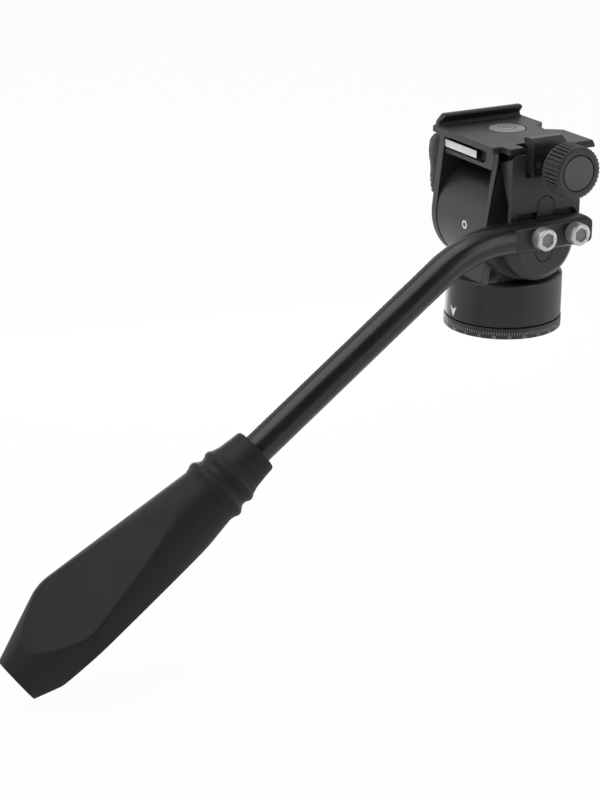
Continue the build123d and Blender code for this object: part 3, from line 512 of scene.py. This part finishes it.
def make_scale_marks():
    """Ticks all round, longer at every number, as thin strips on the ring."""
    radius = ring_high[0] + print_proud
    turns = np.radians(number_shift + np.arange(0, 360, tick_step))
    per_number = int(number_step / tick_step)
    parts = []
    for k, turn in enumerate(turns):
        low = tick_low_z - (tick_longer if k % per_number == 0 else 0)
        across, up = np.meshgrid([-tick_wide / 2, tick_wide / 2], [low, tick_high_z])
        parts.append((on_cylinder(across, up, radius, turn), False, False))
    thicken(piece("scale_ticks", parts, grey_print, "base"))


def thicken(thing):
    """Gives flat ink a thickness, down into what it is printed on."""
    solid = thing.modifiers.new("Ink", "SOLIDIFY")
    solid.thickness = 2 * print_proud * MM
    solid.offset = -1.0


def make_scale_numbers():
    """Plain numbers every fifteen degrees, wrapped round the ring."""
    radius = ring_high[0] + print_proud
    verts = []
    faces = []
    start = 0
    for k in range(360 // number_step):
        curve = bpy.data.curves.new("number", "FONT")
        curve.body = str(k * number_step)
        curve.size = number_size
        curve.align_x = "CENTER"
        curve.resolution_u = 2
        holder = bpy.data.objects.new("number", curve)
        bpy.context.scene.collection.objects.link(holder)
        flat = bpy.data.meshes.new_from_object(holder)
        points = places(flat)
        verts.append(on_cylinder(points[:, 0], points[:, 1] + number_low_z, radius,
                                 radians(number_shift + k * number_step)))
        faces += [[start + i for i in face.vertices] for face in flat.polygons]
        start += len(points)
        bpy.data.objects.remove(holder)
    mesh = bpy.data.meshes.new("scale_numbers")
    mesh.from_pydata((np.concatenate(verts) * MM).tolist(), [], faces)
    thicken(finished("scale_numbers", mesh, grey_print, "base", (), 30.0))


arrow_half = 2.2
arrow_top_z = 9.95
arrow_notch_z = 8.4
arrow_tip_z = 5.5


def make_arrow():
    """Notched arrowhead on the panning cylinder: lines from the tip to the two upper edges."""
    spread, share = np.meshgrid(np.linspace(-1, 1, 9), np.linspace(0, 1, 5))
    top = arrow_notch_z + (arrow_top_z - arrow_notch_z) * np.abs(spread)
    across = arrow_half * spread * share
    up = arrow_tip_z + (top - arrow_tip_z) * share
    points = on_cylinder(across, up, pan_r + print_proud)
    thicken(piece("pan_arrow", [(points, False, False)], white_print, "pan"))


zero_x = 3.1
zero_up = -0.1
zero_outer = 1.65
zero_inner = 0.95


def make_drum_mark():
    """Small ring printed on the drum: a circle in the flat, wrapped round the tilt axis."""
    turn, size = np.meshgrid(np.linspace(0, tau, 49), np.linspace(zero_inner, zero_outer, 3))
    points = on_drum(zero_x + size * np.cos(turn), zero_up + size * np.sin(turn),
                     drum_r + print_proud)
    thicken(piece("drum_mark", [(points, False, False)], white_print, "pan"))


line_x = (9.0, 15.0)
line_up = 15.9
line_wide = 0.3


def make_drum_line():
    """Fine engraved line along the drum near its right end, wrapped round the tilt axis, drawn as a
    dark strip: painted shade of its groove.
    """
    x, up = np.meshgrid(line_x, np.linspace(line_up, line_up + line_wide, 3))
    points = on_drum(x, up, drum_r + print_proud)
    thicken(piece("drum_line", [(points, False, False)], dark_backing_and_groove_shade, "pan"))


socket_thread = 0.5


def make_socket():
    """Steel insert: plain outside, a screw surface inside."""
    outer, depth = socket_high[0], socket_high[2]
    root = socket_r + socket_thread
    rows = threaded(socket_r, socket_pitch, socket_thread, (0, 0, 0), depth, (0, 0, 1))
    rim = turned([(0, root), (0, outer), (depth, outer), (depth, root)],
                 (0, 0, 0), (0, 0, 1), rows.shape[1])
    loop = np.concatenate([rows[::-1], rim, rows[-1:]])
    piece("thread_insert_finished", [(loop, True, False)], plated_steel, "base",
          ("thread_insert",))


# Clamp on top

screw_z = (screw_low[2] + screw_high[2]) / 2
knob_neck_r = 3.6
knob_deep = 8.7  # from the cap's seat back to the rear of the ribs
knob_edge = 0.7
knob_groove = 0.3  # wide, round the cap
knob_rows = 26
rib_count = 36
rib_columns = 12
rib_depth = 1.045
rib_fill = 0.7
rib_steep = 1.2
rib_rear_gap = 0.3
rib_rear_fade = 0.6
rib_front_gap = 0.7
rib_front_fade = 0.8
rib_front_share = 0.25  # of the depth, kept in the front rim


def make_knob():
    """Ribbed knob: radius less depth x slot(turn) x window(x).

    slot is fill + steep x cosine, held between 0 and 1, 36 to the turn. window rises from 0 at
    the rear and falls to a quarter at the front rim.
    """
    back, front = cap_low[0] - knob_deep, knob_high[0]
    outer = knob_high[2] - screw_z
    groove = cap_high[2] - screw_z + knob_groove
    side = np.linspace(back + knob_edge, front - knob_edge, knob_rows + 2)[1:-1]
    profile = np.concatenate([
        rounded([(knob_low[0], 0), (knob_low[0], knob_neck_r), (back, knob_neck_r),
                 (back, outer - knob_edge), (back + knob_edge, outer)], (0, 0.2, 0.3, 0.3, 0)),
        np.column_stack([side, np.full(knob_rows, outer)]),
        rounded([(front - knob_edge, outer), (front, outer - 2 * knob_edge), (front, groove),
                 (cap_low[0], groove), (cap_low[0], 0)], (0, 0.3, 0.15, 0, 0))])
    grid = turned(profile, (0, 0, screw_z), (1, 0, 0), rib_count * rib_columns)
    turn = np.linspace(0, tau, rib_count * rib_columns, endpoint=False)
    slot = np.clip(rib_fill + rib_steep * np.cos(rib_count * turn), 0, 1)
    along, radius = profile.T
    window = (np.clip((along - back - rib_rear_gap) / rib_rear_fade, 0, 1)
              * np.clip((front - along - rib_front_gap) / rib_front_fade, rib_front_share, 1)
              * (radius > outer - 1.5 * knob_edge))
    inwards = rib_depth * window[:, None] * slot[None]
    size = 1 - inwards / np.maximum(radius, 1e-6)[:, None]
    grid = about_line(grid, 0, screw_z, size[..., None])
    piece("clamp_knob_finished", [(grid, True, False)], anodised_knob, "knob",
          ("clamp_knob",), 45.0)


cap_gap = 0.1
cap_round = 0.3


def make_knob_cap():
    """Disc with a softly rounded rim."""
    radius = cap_high[2] - screw_z - cap_gap
    thick = cap_high[0] - cap_low[0]
    profile = rounded([(0, 0), (0, radius), (thick, radius), (thick, 0)], (0, 0, cap_round, 0))
    disc = turned(profile, (cap_low[0], 0, screw_z), (1, 0, 0))
    piece("knob_cap_finished", [(disc, True, False)], cap_plastic, "knob",
          ("knob_cap",))


screw_thread = 0.2
screw_root = 0.22  # the thread's root lies this far under the plain screw's radius
screw_columns = 40


def make_clamp_screw():
    """Clamp screw: a screw surface with a point at the middle of both ends."""
    radius = (screw_high[2] - screw_low[2]) / 2 - screw_root
    length = screw_high[0] - screw_low[0]
    rows = threaded(radius, clamp_pitch, screw_thread, (screw_low[0], 0, screw_z), length,
                    (1, 0, 0), screw_columns)
    rear, front = [np.broadcast_to((x, 0, screw_z), (1, screw_columns, 3))
                   for x in (screw_low[0], screw_high[0])]
    piece("clamp_screw_finished", [(np.concatenate([rear, rows, front]), True, False)],
          plated_steel, "knob", ("clamp_screw",), 60.0)


level_rim = 0.45
level_rim_round = 0.12
level_sunk = 0.6  # the rim's top lies this far under the CAD cup's
level_floor = 0.2
level_ring_r = 3.1
level_ring_wide = 0.25
dome_rise = 0.25
dome_sunk = 0.05  # the dome's edge lies this far under the cup's top
bubble_r = 2.1
bubble_rise = 0.1
bubble_shift = (0.4, -0.3, 0.13)


def make_level():
    """Round level: dark rim, grey face under a low dome, a ring mark and its bubble.

    The dome's height is rise x (1 - (radius / inner radius)^2), and the bubble's a half ellipse.
    """
    middle_x, middle_y = ((cup_low + cup_high) / 2)[:2]
    low, top = cup_low[2], cup_high[2]
    outer = (cup_high[0] - cup_low[0]) / 2
    inner = outer - level_rim
    rim_top = top - low - level_sunk
    rim = closed_outline([(0, inner), (0, outer), (rim_top, outer), (rim_top, inner)],
                         (0, 0, level_rim_round, level_rim_round))
    rim = turned(np.concatenate([rim, rim[:1]]), (middle_x, middle_y, low), (0, 0, 1))
    piece("level_cup_finished", [(rim, True, False)], level_dark, "tilt",
          ("level_cup",))
    share = np.linspace(0, 1, 16)
    dome = np.column_stack([top - low + dome_rise * (1 - share ** 2) - dome_sunk, inner * share])
    face = np.concatenate([dome, [(level_floor, inner), (level_floor, 0)]])
    face = turned(face, (middle_x, middle_y, low), (0, 0, 1))
    piece("level_face", [(face, True, False)], level_face, "tilt",
          ("level_glass",))
    ring_z = top + dome_rise * (1 - (level_ring_r / inner) ** 2) - dome_sunk
    ring = turned([(print_proud, level_ring_r + level_ring_wide), (print_proud, level_ring_r)],
                  (middle_x, middle_y, ring_z), (0, 0, 1), 96)
    thicken(piece("level_ring", [(ring, True, False)], level_dark, "tilt"))
    bubble = np.column_stack([bubble_rise * np.cos(share * pi / 2),
                              bubble_r * np.sin(share * pi / 2)])
    bubble = turned(np.concatenate([bubble, [(-bubble_rise, 0)]]),
                    np.array((middle_x, middle_y, top)) + bubble_shift, (0, 0, 1), 64)
    piece("level_bubble", [(bubble, True, False)], level_bubble, "tilt")


strip_thick = 0.3
strip_round = 0.12
strip_edge = 0.05


def make_strip():
    """Pale inlay, plain and without words: a thin flat bar on a dark backing."""
    (left, rear, low), (end, front, high) = strip_low, strip_high
    outline = closed_outline([(left, low), (end, low), (end, high), (left, high)], strip_round)
    piece("strip_finished", [slab(outline, rear, rear + strip_thick, strip_edge)],
          pale_inlay, "tilt", ("name_strip",))
    piece("strip_backing", [slab(outline, rear + strip_thick, front, strip_edge)],
          dark_backing_and_groove_shade, "tilt")


# Lock lever on the left

lever_hub_r = 8.5
lever_hub_out_x = -27.0
lever_seat_r = 4.8  # hollow in the hub's face that takes the cap
lever_seat_deep = 1.0
lever_tip_y = -12.6
lever_tip_z = 68.2
lever_tip_r = 4.9
lever_heel_y = -13.6
lever_heel_z = 48.6
lever_heel_r = 3.8
lever_rows = 220
lever_smooth = 13  # rows that the outline is smoothed over
lever_thinnest = 0.4
lever_power = 2 / 3  # 2 / n for the sections' n = 3
# Share of the finger's reach in X, and of its height, from the top down
finger_shares = np.array([
    (0.313, 1.0), (0.616, 0.944), (0.899, 0.817), (1.0, 0.724), (0.96, 0.631), (0.828, 0.532),
    (0.828, 0.432), (0.879, 0.365), (0.818, 0.266), (0.677, 0.193), (0.58, 0.175), (0.42, 0.16),
    (0.42, 0.0)])
grooves_z = (50.0, 51.8, 53.6)
groove_half = 0.4
groove_share = 0.09  # of the finger's reach


def power_wave(wave):
    """sign(wave) x |wave|^power: with cosine and sine it draws |y|^n + |x|^n = 1."""
    return np.sign(wave) * np.abs(wave) ** lever_power


def make_lever():
    """Finger lofted upwards in rounded sections, on a turned hub.

    A section at height z spans the finger's front and rear edges in Y and runs from the frame out
    to a smooth curve in X; its corners follow |y|^n + |x|^n = 1 with n = 3. Three grooves cut in.
    """
    inner_x = lever_high[0]
    top = lever_tip_z + lever_tip_r
    z = np.linspace(tilt_z - 2, top, lever_rows)
    share = (z - tilt_z) / (top - tilt_z)
    out = np.interp(share, finger_shares[::-1, 1], finger_shares[::-1, 0])
    kernel = np.hanning(lever_smooth) / np.hanning(lever_smooth).sum()
    out = np.convolve(np.pad(out, lever_smooth // 2, mode="edge"), kernel, mode="valid")
    for groove in grooves_z:
        out -= groove_share * np.exp(-((z - groove) / groove_half) ** 2)
    rear = np.interp(z, [tilt_z, lever_heel_z, lever_tip_z],
                     [-lever_hub_r, lever_heel_y - lever_heel_r, lever_tip_y - lever_tip_r])
    front = np.interp(z, [tilt_z, lever_tip_z], [lever_hub_r, lever_tip_y + lever_tip_r])
    over = np.clip((z - lever_tip_z) / lever_tip_r, 0, 1)
    middle = (rear + front) / 2
    half = (front - rear) / 2 * np.sqrt(np.clip(1 - over ** 2, 1e-4, 1))
    depth = np.clip(out * (inner_x - lever_low[0]), lever_thinnest, None)
    turn = np.linspace(0, tau, 64, endpoint=False)
    x = inner_x - depth[:, None] / 2 * (1 + power_wave(np.sin(turn)))
    y = middle[:, None] + half[:, None] * power_wave(np.cos(turn))
    finger = np.stack([x, y, np.broadcast_to(z[:, None], x.shape)], -1)
    face = inner_x - lever_hub_out_x
    seat = face - lever_seat_deep
    hub = rounded([(0, 0), (0, lever_hub_r), (face, lever_hub_r), (face, lever_seat_r),
                   (seat, lever_seat_r), (seat, 0)], (0, 0.3, 0.9, 0.15, 0, 0))
    hub = turned(hub, (inner_x, 0, tilt_z), (-1, 0, 0))
    piece("lock_lever_finished", [(finger, True, True), (hub, True, False)],
          moulded_nylon, "lever", ("lock_lever",), 50.0)


# Handle

bar_mid = (tube_low[0] + tube_high[0]) / 2
bar_z = tube_high[2] - bar_r
bend_end = np.array((bend_start_y - bend_r * sin(bend), bar_z - bend_r * (1 - cos(bend))))
to_grip = (bend_end[1] - grip_start_z) / sin(bend)
grip_way = np.array((0.0, -cos(bend), -sin(bend)))
grip_up = np.array((0.0, -sin(bend), cos(bend)))
right = np.array((1.0, 0.0, 0.0))
grip_start = np.array((bar_mid, bend_end[0] - to_grip * cos(bend), grip_start_z))


def handle_line(distance):
    """Centre and upward normal of the handle's axis, by distance from its front end.

    Level, then an arc of one radius, then straight down to the grip.
    """
    level = tube_high[1] - bend_start_y
    swept = np.clip((distance - level) / bend_r, 0, bend)
    rest = np.clip(distance - level - bend_r * bend, 0, None)
    y = tube_high[1] - np.minimum(distance, level) - bend_r * np.sin(swept) - rest * cos(bend)
    z = bar_z - bend_r * (1 - np.cos(swept)) - rest * sin(bend)
    centre = np.stack([np.full_like(y, bar_mid), y, z], -1)
    normal = np.stack([np.zeros_like(y), -np.sin(swept), np.cos(swept)], -1)
    return centre, normal


def soft_limit(value, limit, softness):
    """|value| held under limit, with a small round where it starts to bite."""
    size = np.abs(value)
    gap = np.clip((softness - np.abs(size - limit)) / softness, 0, None)
    return np.sign(value) * (np.minimum(size, limit) - softness / 4 * gap ** 2)


bar_front_edge = 0.35
flat_run_out = 0.8  # length over which the flats end
flat_opens = 3.0  # how far they open there, to clear the round tube
flat_soft = 0.18
end_soft = 0.12


def make_tube():
    """Round tube whose front end is milled flat on both sides and rounded off.

    A section is a circle clipped by a soft minimum at the flats, |x| <= 4.2, and at the end's
    rounded outline, |z| <= h(distance).
    """
    length = tube_high[1] - bend_start_y + bend_r * bend + to_grip + grip_sleeve
    milled = tube_high[1] - bar_flat_rear_y
    # Rows are closer in the rounded end and where the flats run out
    distance = np.concatenate([bar_end_r * (1 - np.cos(np.linspace(0, pi / 2, 14))),
                               np.linspace(bar_end_r, milled - 0.3, 20)[1:],
                               np.linspace(milled - 0.25, milled + 0.9, 14),
                               np.linspace(milled + 1.2, length, 190)])
    centre, normal = handle_line(distance)
    turn = np.linspace(0, tau, 128, endpoint=False)
    round_end = np.sqrt(np.clip(bar_end_r ** 2 - (bar_end_r - distance) ** 2, 0, None))
    tall = np.where(distance < bar_end_r, bar_r - bar_end_r + round_end, bar_r + 1)
    wide = bar_flat_half + flat_opens * np.clip((distance - milled) / flat_run_out, 0, 1)
    wide -= bar_front_edge * (1 - np.clip(distance / bar_front_edge, 0, 1))
    x = soft_limit(bar_r * np.cos(turn), wide[:, None], flat_soft)
    z = soft_limit(bar_r * np.sin(turn), tall[:, None], end_soft)
    grid = centre[:, None] + x[..., None] * right + z[..., None] * normal[:, None]
    piece("handle_tube_finished", [(grid, True, True)], anodised_tube, "tilt",
          ("handle_tube",), 30.0)


# Share of the grip's length and of its radius at each corner of the profile, and rounds in mm
grip_shares = np.array([
    (0.0, 0.443), (0.005, 0.461), (0.034, 0.477), (0.077, 0.51), (0.1, 0.556), (0.106, 0.585),
    (0.114, 0.6), (0.122, 0.59), (0.13, 0.562), (0.139, 0.552), (0.148, 0.562), (0.158, 0.603),
    (0.165, 0.64), (0.172, 0.65), (0.18, 0.64), (0.19, 0.612), (0.204, 0.598), (0.76, 1.0),
    (1.0, 0.464)])
grip_rounds = (0, 0.3, 3, 3, 2, 0.8, 0.9, 0.9, 1, 1, 1, 1, 1.2, 1.0, 1.2, 1, 4, 20, 0)
grip_ribs_end = 26.0  # rows are closer up to here
facet_soft = 0.35
facet_lean = 0.2  # least cosine at which a facet counts
far_off = 1e3
butt_rings = ((0.1, 0.35), (0.3, 0.52), (0.6, 0.6))  # (inwards, along) of the butt's round
mouth_gap = 0.05
mouth_deep = 1.5


def soft_least(a, b, softness):
    """Smaller of two surfaces, with their meeting edge rounded."""
    gap = np.clip(softness - np.abs(a - b), 0, None) / softness
    return np.minimum(a, b) - gap ** 2 * softness / 4


def make_grip():
    """Turned body cut by three facets: radius = soft minimum of profile(s) and facet / cos(turn).

    The profile runs through collar, two ring ribs and the swelling body; near the butt it falls
    away to the flat end.
    """
    profile = rounded(grip_shares * (grip_len, grip_r), grip_rounds, 8)
    s = np.concatenate([np.linspace(0, grip_ribs_end, 120),
                        np.linspace(grip_ribs_end + 0.4, grip_len - 0.6, 236)])
    radius = np.interp(s, profile[:, 0], profile[:, 1])
    turn = np.linspace(0, tau, 240, endpoint=False)
    flat = facet_dist - np.tan(facet_tilt) * (s - grip_len / 2)
    face = np.full((len(s), len(turn)), far_off)
    for angle in facet_angles:
        lean = np.cos(turn - angle)
        facet = np.where(lean > facet_lean, flat[:, None] / np.maximum(lean, facet_lean), far_off)
        face = np.minimum(face, facet)
    r = soft_least(radius[:, None], face, facet_soft)
    ring = np.cos(turn)[:, None] * right + np.sin(turn)[:, None] * grip_up
    grid = grip_start + s[:, None, None] * grip_way + r[..., None] * ring
    end = [grip_start + (s[-1] + ahead) * grip_way + (r[-1] - inset)[:, None] * ring
           for inset, ahead in butt_rings]
    mouth = grip_start + (bar_r + mouth_gap) * ring
    inside = mouth + mouth_deep * grip_way
    grid = np.concatenate([np.stack([inside, mouth]), grid, np.stack(end)])
    piece("grip_finished", [(grid, True, True)], moulded_rubber, "tilt", ("grip",), 60.0)


bolt_spacing = 15.0
bolt_ys = (bolts_low[1] + bolts_high[1]) / 2 + np.array((-0.5, 0.5)) * bolt_spacing
bolt_head_h = 4.7
bolt_head_r = 4.2
bolt_head_round = 0.75
bolt_face_r = 3.3
bolt_shank_r = 2.5
bolt_columns = 144
hex_half = 2.4
hex_deep = 0.9
hex_bevel = 0.3
hex_bevel_deep = 0.25
floor_thick = 0.08
floor_gap = 0.03


def make_bolts():
    """Socket-head bolts: turned shank and head, then a hexagon sunk in the top.

    The hexagon's radius is its half width over the cosine of the turn from the nearest flat.
    """
    end, face = bolts_low[0], bolts_high[0]
    seat = face - bolt_head_h
    bottom = face - hex_deep
    turn = np.linspace(0, tau, bolt_columns, endpoint=False)
    hexagon = (hex_half / np.cos((turn + pi / 6) % (pi / 3) - pi / 6))[:, None]
    outside = rounded([(end, 0), (end, bolt_shank_r), (seat, bolt_shank_r), (seat, bolt_head_r),
                       (face, bolt_head_r), (face, bolt_face_r)],
                      (0, 0.3, 0, 0.15, bolt_head_round, 0), 8)
    steps = ((face, hexagon + hex_bevel), (face - hex_bevel_deep, hexagon), (bottom, hexagon),
             (bottom, 0 * hexagon))
    disc = [(bottom, 0), (bottom, 1.0), (bottom + floor_thick, 1.0), (bottom + floor_thick, 0)]
    bolts = []
    floors = []
    for y in bolt_ys:
        centre = (0, y, bar_z)
        rows = [turned(outside, centre, (1, 0, 0), bolt_columns)]
        for x, size in steps:
            ring = turned([(x, 1.0)], centre, (1, 0, 0), bolt_columns)
            rows.append(about_line(ring, y, bar_z, size))
        bolts.append((np.concatenate(rows), True, False))
        floor = turned(disc, centre, (1, 0, 0), bolt_columns)
        floors.append((about_line(floor, y, bar_z, hexagon - floor_gap), True, False))
    piece("handle_bolts_finished", bolts, polished_stainless, "tilt",
          ("handle_bolts",), 32.0)
    # The socket floors' darker colour is painted shade.
    piece("bolt_sockets", floors, socket_shade_steel, "tilt", (), 32.0)


# CAD solids that keep their shape: rounded copies for what shows, finishes for what is inside

wall_x = 26.6  # outer face of the side wall
wall_rim = 3.2  # chamfer of its round foot
wall_half = 15.7
wall_foot_z = 38.5
wall_side_z = 49.0  # above here its sides are straight
recess_x = wall_x - 2.0  # floor of the handle's recess
hollow_x = 22.4  # outer side of the hollow behind the wall
hollow_out = 2.2
behind_y = -14.8  # the hollow and its web lie behind here
web_tip_z = 53.0
web_tip_up = 2.5
web_corner = (18.0, -15.7, 69.4)
web_corner_moves = (-1.4, 1.1, -1.2)
post_x = 15.0  # post beside the opening, on the frame's rear face
post_low_z = 66.0
side_x = 18.0  # edge beyond the post
frame_rear_y = -17.4
under_plate_z = 70.0
slack = 0.1
post_top_right = 2.8
post_right = 2.2
side_right = 2.1


def near(value, place, within=0.01):
    """Where a coordinate lies at a place, to within a hair."""
    return np.abs(value - place) < within


def full_wall(points):
    """Brings the side wall's upright rims out to full width above its round foot.

    There a rim point moves out to the wall's face by (wall_x - x) x share, where share rises from
    0 at the foot's centre to 1 where the sides turn straight. The rear web's tip and upper corner,
    the hollow's outer side and the upper end of the post beside the opening move as well, each
    found by where the steps before have left it.
    """
    points = points.copy()
    x, y, z = points.T
    share = np.clip((z - wall_foot_z) / (wall_side_z - wall_foot_z), 0, 1)
    rim_x = wall_x - wall_rim
    rim = (x > rim_x - slack) & (x + np.abs(y) > rim_x + wall_half - 2 * slack)
    rim &= ~((y < 0) & near(x, recess_x))
    points[:, 0] = np.where(rim, x + (wall_x - x) * share, x)
    hollow = (y < behind_y) & near(x, hollow_x) & (z < web_tip_z + 0.5) & (z > wall_foot_z)
    points[hollow, 0] += hollow_out
    points[hollow & near(z, web_tip_z, 0.5), 2] += web_tip_up
    points[np.all(near(points, web_corner), 1)] += web_corner_moves
    post = near(x, post_x, 0.15) & (y < frame_rear_y) & (z > post_low_z)
    points[post, 0] += np.where(z[post] > under_plate_z, post_top_right, post_right)
    points[near(x, side_x) & (y < frame_rear_y) & (z > under_plate_z), 0] += side_right
    return points


def make_castings():
    """Rounded copies of the visible solids; the frame's side wall is reshaped as well."""
    softened("yoke", 0.25, coated_casting, "tilt", full_wall)
    for node, edge, material, body, slot in (
            ("pan_housing", 0.25, coat_painted_darker, "pan", "black_body"),
            ("clamp_plate", 0.3, plate_coat_painted_light_and_shade, "tilt", "black_body"),
            ("movable_jaw", 0.15, coat_painted_darker, "jaw", "black_body"),
            ("handle_pad", 0.2, coated_casting, "tilt", "black_body"),
            ("base_plate", 0.2, coated_casting, "base", "black_body"),
            ("lever_cap", 0.2, cap_plastic, "lever", "cap_grey"),
            ("pan_lock_knob", 0.25, moulded_nylon, "pan_lock", "black_plastic")):
        softened(node, edge, material, body)


def finish_inner_parts():
    """Finishes for the CAD nodes that stay as they are."""
    for material, nodes in (
            (plated_steel, ("pan_spindle", "spindle_washer", "spindle_nut", "pan_lock_screw",
                            "tilt_axle", "jaw_pins", "lever_stud")),
            (acetal, ("thrust_washer", "pan_drag_ring", "pan_lock_pad", "drag_sleeve")),
            (sintered_bronze, ("pan_bush", "axle_bushes")),
            (turned_aluminium, ("drum_caps", "tilt_rotor"))):
        for node in nodes:
            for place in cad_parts[node].material_slots:
                place.material = material


# Light, floor and camera

dark_side = (0.87, -0.5, 0.0)  # towards the dark half of the studio, behind the camera


def backdrop_share(tree, towards):
    """0.85 towards the white backdrop, falling to 0.06 towards the dark side."""
    unit = add(tree, "ShaderNodeVectorMath", {0: towards}, operation="NORMALIZE").outputs[0]
    lean = add(tree, "ShaderNodeVectorMath", {0: unit, 1: dark_side},
               operation="DOT_PRODUCT").outputs["Value"]
    return add(tree, "ShaderNodeMapRange",
               {"Value": lean, "From Min": -0.7, "From Max": 0.35, "To Min": 0.85,
                "To Max": 0.06}).outputs[0]


def white_where_seen(tree, towards, fill, lit, seen):
    """seen to the camera; to other rays the backdrop's share of lit, if mirrored, or of fill."""
    path = add(tree, "ShaderNodeLightPath").outputs
    mirrored = add(tree, "ShaderNodeMath",
                   {0: path["Is Glossy Ray"], 1: path["Is Transmission Ray"]},
                   operation="MAXIMUM").outputs[0]
    level = add(tree, "ShaderNodeMix", {"Factor": mirrored, "A": fill, "B": lit},
                data_type="FLOAT").outputs[0]
    level = add(tree, "ShaderNodeMath", {0: level, 1: backdrop_share(tree, towards)},
                operation="MULTIPLY").outputs[0]
    return add(tree, "ShaderNodeMix", {"Factor": path["Is Camera Ray"], "A": level, "B": seen},
               data_type="FLOAT").outputs[0]


floor_half = 6.0  # in metres, as the next one
floor_below = 0.004


def make_floor():
    """Plain pale floor that keeps a faint shadow."""
    height = cad_box[0][2] - floor_below
    mesh = bpy.data.meshes.new("floor")
    corners = [(x * floor_half, y * floor_half, height)
               for x, y in ((-1, -1), (1, -1), (1, 1), (-1, 1))]
    mesh.from_pydata(corners, [], [(0, 1, 2, 3)])
    floor = bpy.data.objects.new("floor", mesh)
    bpy.context.scene.collection.objects.link(floor)
    material = bpy.data.materials.new("Pale_paper_floor")
    material.use_nodes = True
    tree = material.node_tree
    tree.nodes.clear()
    place = add(tree, "ShaderNodeNewGeometry").outputs["Position"]
    diffuse = add(tree, "ShaderNodeBsdfDiffuse", {"Color": linear("#f4f4f4")}).outputs[0]
    glow = add(tree, "ShaderNodeEmission", {"Color": (1, 1, 1, 1), "Strength": 1.0}).outputs[0]
    share = white_where_seen(tree, place, fill=0.0, lit=0.6, seen=0.96)
    mixed = add(tree, "ShaderNodeMixShader", {0: share, 1: diffuse, 2: glow}).outputs[0]
    add(tree, "ShaderNodeOutputMaterial", {"Surface": mixed})
    mesh.materials.append(material)


def make_world():
    """Even pale surroundings behind the object, dim in front, white where the camera sees them."""
    world = bpy.data.worlds.new("Studio")
    bpy.context.scene.world = world
    world.use_nodes = True
    tree = world.node_tree
    direction = add(tree, "ShaderNodeTexCoord").outputs["Generated"]
    strength = white_where_seen(tree, direction, fill=0.7, lit=1.0, seen=1.0)
    tree.links.new(strength, tree.nodes["Background"].inputs["Strength"])
    tree.nodes["Background"].inputs["Color"].default_value = (1, 1, 1, 1)


def lamp(name, place, target, width, height, power):
    """Soft box at a place, facing a target, in metres and watts."""
    light = bpy.data.lights.new(name, "AREA")
    light.shape = "RECTANGLE"
    light.size = width
    light.size_y = height
    light.energy = power
    holder = bpy.data.objects.new(name, light)
    bpy.context.scene.collection.objects.link(holder)
    facing = np.subtract(place, target)
    holder.location = place
    holder.visible_camera = False
    holder.rotation_euler = (acos(facing[2] / np.linalg.norm(facing)), 0,
                             atan2(facing[1], facing[0]) + pi / 2)


def make_lights():
    """A large box above, smaller ones all round, and a low panel on the left."""
    middle = (0.01, -0.06, 0.02)
    body = (0.0, 0.0, 0.03)
    lamp("Top_box", (0.02, -0.42, 0.95), middle, 1.0, 1.1, 7.4)
    lamp("Front_box", (0.25, -0.95, 0.35), middle, 0.5, 0.5, 1.5)
    lamp("Right_box", (0.85, 0.4, 0.35), middle, 0.35, 0.9, 2.2)
    lamp("Rim_box", (0.3, 0.68, 0.02), body, 0.2, 0.2, 0.6)
    lamp("Left_box", (-0.75, -0.7, 0.2), middle, 0.3, 0.6, 0.7)
    lamp("Low_panel", (-0.34, 0.06, -0.05), body, 0.3, 0.14, 0.7)


picture_tall = 800
focal_px = 2125.0
camera_place = (660.2, -450.5, 265.4)
camera_down = radians(20.59)
camera_turn = radians(61.40)


def make_camera():
    """Camera at the photograph's place; sensor 36 mm along the picture's long side."""
    data = bpy.data.cameras.new("Camera")
    data.sensor_width = 36.0
    data.lens = focal_px * data.sensor_width / picture_tall
    data.clip_start = 0.01
    holder = bpy.data.objects.new("Camera", data)
    bpy.context.scene.collection.objects.link(holder)
    holder.location = np.array(camera_place) * MM
    holder.rotation_euler = (pi / 2 - camera_down, 0, camera_turn)
    bpy.context.scene.camera = holder


make_scale_ring()
make_scale_marks()
make_scale_numbers()
make_arrow()
make_drum_mark()
make_drum_line()
make_socket()
make_knob()
make_knob_cap()
make_clamp_screw()
make_level()
make_strip()
make_lever()
make_tube()
make_grip()
make_bolts()
make_castings()
finish_inner_parts()
make_floor()
make_world()
make_lights()
make_camera()
bpy.context.scene.view_settings.view_transform = "Standard"
